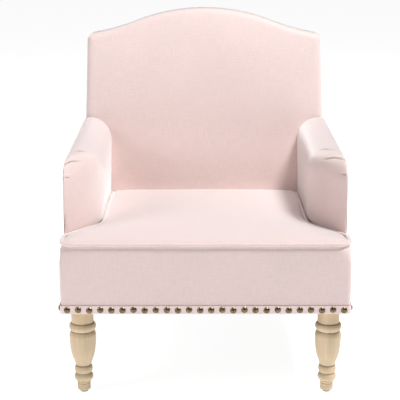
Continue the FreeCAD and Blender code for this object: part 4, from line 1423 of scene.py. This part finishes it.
class ARMCHAIR_OT_inner_cloth(bpy.types.Operator):
    """Adds the dust cover, the cloth over the springs and the back's straps"""

    bl_idname = "armchair.inner_cloth"
    bl_label = "Inner cloth"

    def execute(self, context):
        black = plain_material("black_cambric", (0.018, 0.018, 0.02), 0.9, 1.2 * MM, contrast=0.5)
        dust = add_part(make_dust_cover(), black, ("dust_cover",))
        calico = plain_material("calico", (0.55, 0.49, 0.38), 0.9, 1.5 * MM)
        deck = add_part(make_deck_cloth(), calico, ("deck_cloth",))
        strap = plain_material("elastic_webbing", (0.10, 0.09, 0.08), 0.85, 2 * MM, contrast=0.4)
        straps = add_part(make_webbing(), strap, ("back_webbing",))
        return {"FINISHED"}


class ARMCHAIR_OT_nails(bpy.types.Operator):
    """Finishes the nails in antique bronze"""

    bl_idname = "armchair.nails"
    bl_label = "Nails"

    def execute(self, context):
        bronze = bronze_material(context.scene.chair_hardware.nail_colour)
        for name in ("front_nails", "left_nails", "right_nails"):
            finish_node(name, bronze)
        return {"FINISHED"}


class ARMCHAIR_OT_legs(bpy.types.Operator):
    """Finishes the legs in pale washed wood, and their glides"""

    bl_idname = "armchair.legs"
    bl_label = "Legs"

    def execute(self, context):
        colour = context.scene.chair_hardware.wood_colour
        turned = washed_wood_material(colour)
        plain = leg_wood("plain_washed_wood", colour)[0]
        for side in ("left", "right"):
            finish_node(side + "_front_leg", turned)
            finish_node(side + "_rear_leg", plain)
        nylon = plain_material("glide_nylon", (0.03, 0.028, 0.026), 0.45, 1 * MM, contrast=0.2)
        finish_node("leg_glides", nylon)
        return {"FINISHED"}


class ARMCHAIR_OT_frame(bpy.types.Operator):
    """Finishes the wooden frame and the arm boards"""

    bl_idname = "armchair.frame"
    bl_label = "Frame"

    def execute(self, context):
        runs = {
            "X": ("front_rail", "rear_rail", "crest_rail", "lower_back_rail",
                  "corner_blocks", "frame_dowels"),
            "Y": ("left_side_rail", "right_side_rail", "left_arm_rail", "right_arm_rail",
                  "left_arm_liner", "right_arm_liner"),
            "Z": ("left_back_post", "right_back_post", "left_arm_stump", "right_arm_stump"),
        }
        for turn, names in runs.items():
            finish = "frame_wood_" + turn.lower()
            wood = wood_material(finish, (0.74, 0.58, 0.38), (0.52, 0.35, 0.19), 0.55, turn)[0]
            for name in names:
                finish_node(name, wood)
        board = plain_material("arm_board", (0.46, 0.36, 0.24), 0.85, 3 * MM)
        for name in ("left_arm_board", "right_arm_board"):
            finish_node(name, board)
        return {"FINISHED"}


class ARMCHAIR_OT_hardware(bpy.types.Operator):
    """Finishes the springs, bolts, screws and staples"""

    bl_idname = "armchair.hardware"
    bl_label = "Hardware"

    def execute(self, context):
        spring = plain_material("spring_steel", (0.22, 0.22, 0.23), 0.38, 4 * MM, metallic=1.0, bump=0.03)
        for name in ("seat_springs", "spring_clips", "spring_tie_wires"):
            finish_node(name, spring)
        zinc = plain_material("zinc_steel", (0.62, 0.63, 0.65), 0.34, 3 * MM, metallic=1.0, bump=0.03)
        for name in ("leg_bolts", "leg_tee_nuts", "block_screws", "dust_cover_staples"):
            finish_node(name, zinc)
        return {"FINISHED"}


class ARMCHAIR_OT_stage(bpy.types.Operator):
    """Adds the floor, the lamps and the camera"""

    bl_idname = "armchair.stage"
    bl_label = "Stage"

    def execute(self, context):
        scene = context.scene
        settings = scene.chair_stage
        bm = bmesh.new()
        bmesh.ops.create_grid(bm, x_segments=1, y_segments=1, size=FLOOR_HALF)
        floor = finished(bm, "floor")
        material, _, shader = blank_material("floor_white")
        shader.inputs["Base Color"].default_value = (0.5, 0.5, 0.5, 1)
        shader.inputs["Roughness"].default_value = 0.9
        shader.inputs["Emission Color"].default_value = (1, 1, 1, 1)
        shader.inputs["Emission Strength"].default_value = FLOOR_GLOW
        floor.data.materials.append(material)
        world = bpy.data.worlds.new("room")
        world.use_nodes = True
        room = world.node_tree.nodes["Background"]
        room.inputs["Color"].default_value = (1, 1, 1, 1)
        room.inputs["Strength"].default_value = settings.world
        scene.world = world
        lamps = (
            ("key", KEY_PLACE, KEY_AIM, KEY_SIZE, settings.key),
            ("fill", FILL_PLACE, FILL_AIM, FILL_SIZE, settings.fill),
        )
        for name, place, aim, size, power in lamps:
            lamp = bpy.data.lights.new(name, "AREA")
            lamp.size = size
            lamp.energy = power
            obj = bpy.data.objects.new(name, lamp)
            obj.location = place
            obj.rotation_euler = (Vector(aim) - Vector(place)).to_track_quat("-Z", "Y").to_euler()
            scene.collection.objects.link(obj)
        camera = bpy.data.cameras.new("camera")
        camera.lens = settings.lens
        obj = bpy.data.objects.new("camera", camera)
        obj.location = (CAMERA_X, at(CAMERA_DEPTH), CAMERA_Z)
        obj.rotation_euler = (math.radians(90 - CAMERA_DOWN), 0, CAMERA_TURN)
        scene.collection.objects.link(obj)
        scene.camera = obj
        scene.view_settings.view_transform = "Standard"
        return {"FINISHED"}


# ---- the panel, and running it all ----
PIECES = (
    ARMCHAIR_OT_seat, ARMCHAIR_OT_welt, ARMCHAIR_OT_apron, ARMCHAIR_OT_arms, ARMCHAIR_OT_back,
    ARMCHAIR_OT_outside, ARMCHAIR_OT_band, ARMCHAIR_OT_inner_cloth, ARMCHAIR_OT_nails, ARMCHAIR_OT_legs,
    ARMCHAIR_OT_frame, ARMCHAIR_OT_hardware, ARMCHAIR_OT_stage,
)


class ARMCHAIR_PT_panel(bpy.types.Panel):
    """Lists the pieces and their settings"""

    bl_label = "Armchair"
    bl_space_type = "VIEW_3D"
    bl_region_type = "UI"
    bl_category = "Armchair"

    def draw(self, context):
        scene = context.scene
        for settings in (scene.chair_cloth, scene.chair_hardware, scene.chair_stage):
            for name in settings.__annotations__:
                self.layout.prop(settings, name)
        for piece in PIECES:
            self.layout.operator(piece.bl_idname)


CLASSES = (ClothSettings, HardwareSettings, StageSettings, *PIECES, ARMCHAIR_PT_panel)


def register():
    for cls in CLASSES:
        bpy.utils.register_class(cls)
    bpy.types.Scene.chair_cloth = bpy.props.PointerProperty(type=ClothSettings)
    bpy.types.Scene.chair_hardware = bpy.props.PointerProperty(type=HardwareSettings)
    bpy.types.Scene.chair_stage = bpy.props.PointerProperty(type=StageSettings)


def unregister():
    del bpy.types.Scene.chair_stage
    del bpy.types.Scene.chair_hardware
    del bpy.types.Scene.chair_cloth
    for cls in reversed(CLASSES):
        bpy.utils.unregister_class(cls)


def main():
    register()
    linen_group(weave_group())
    grain_group()
    for piece in PIECES:
        family, name = piece.bl_idname.split(".")
        getattr(getattr(bpy.ops, family), name)()


if __name__ == "__main__":
    main()
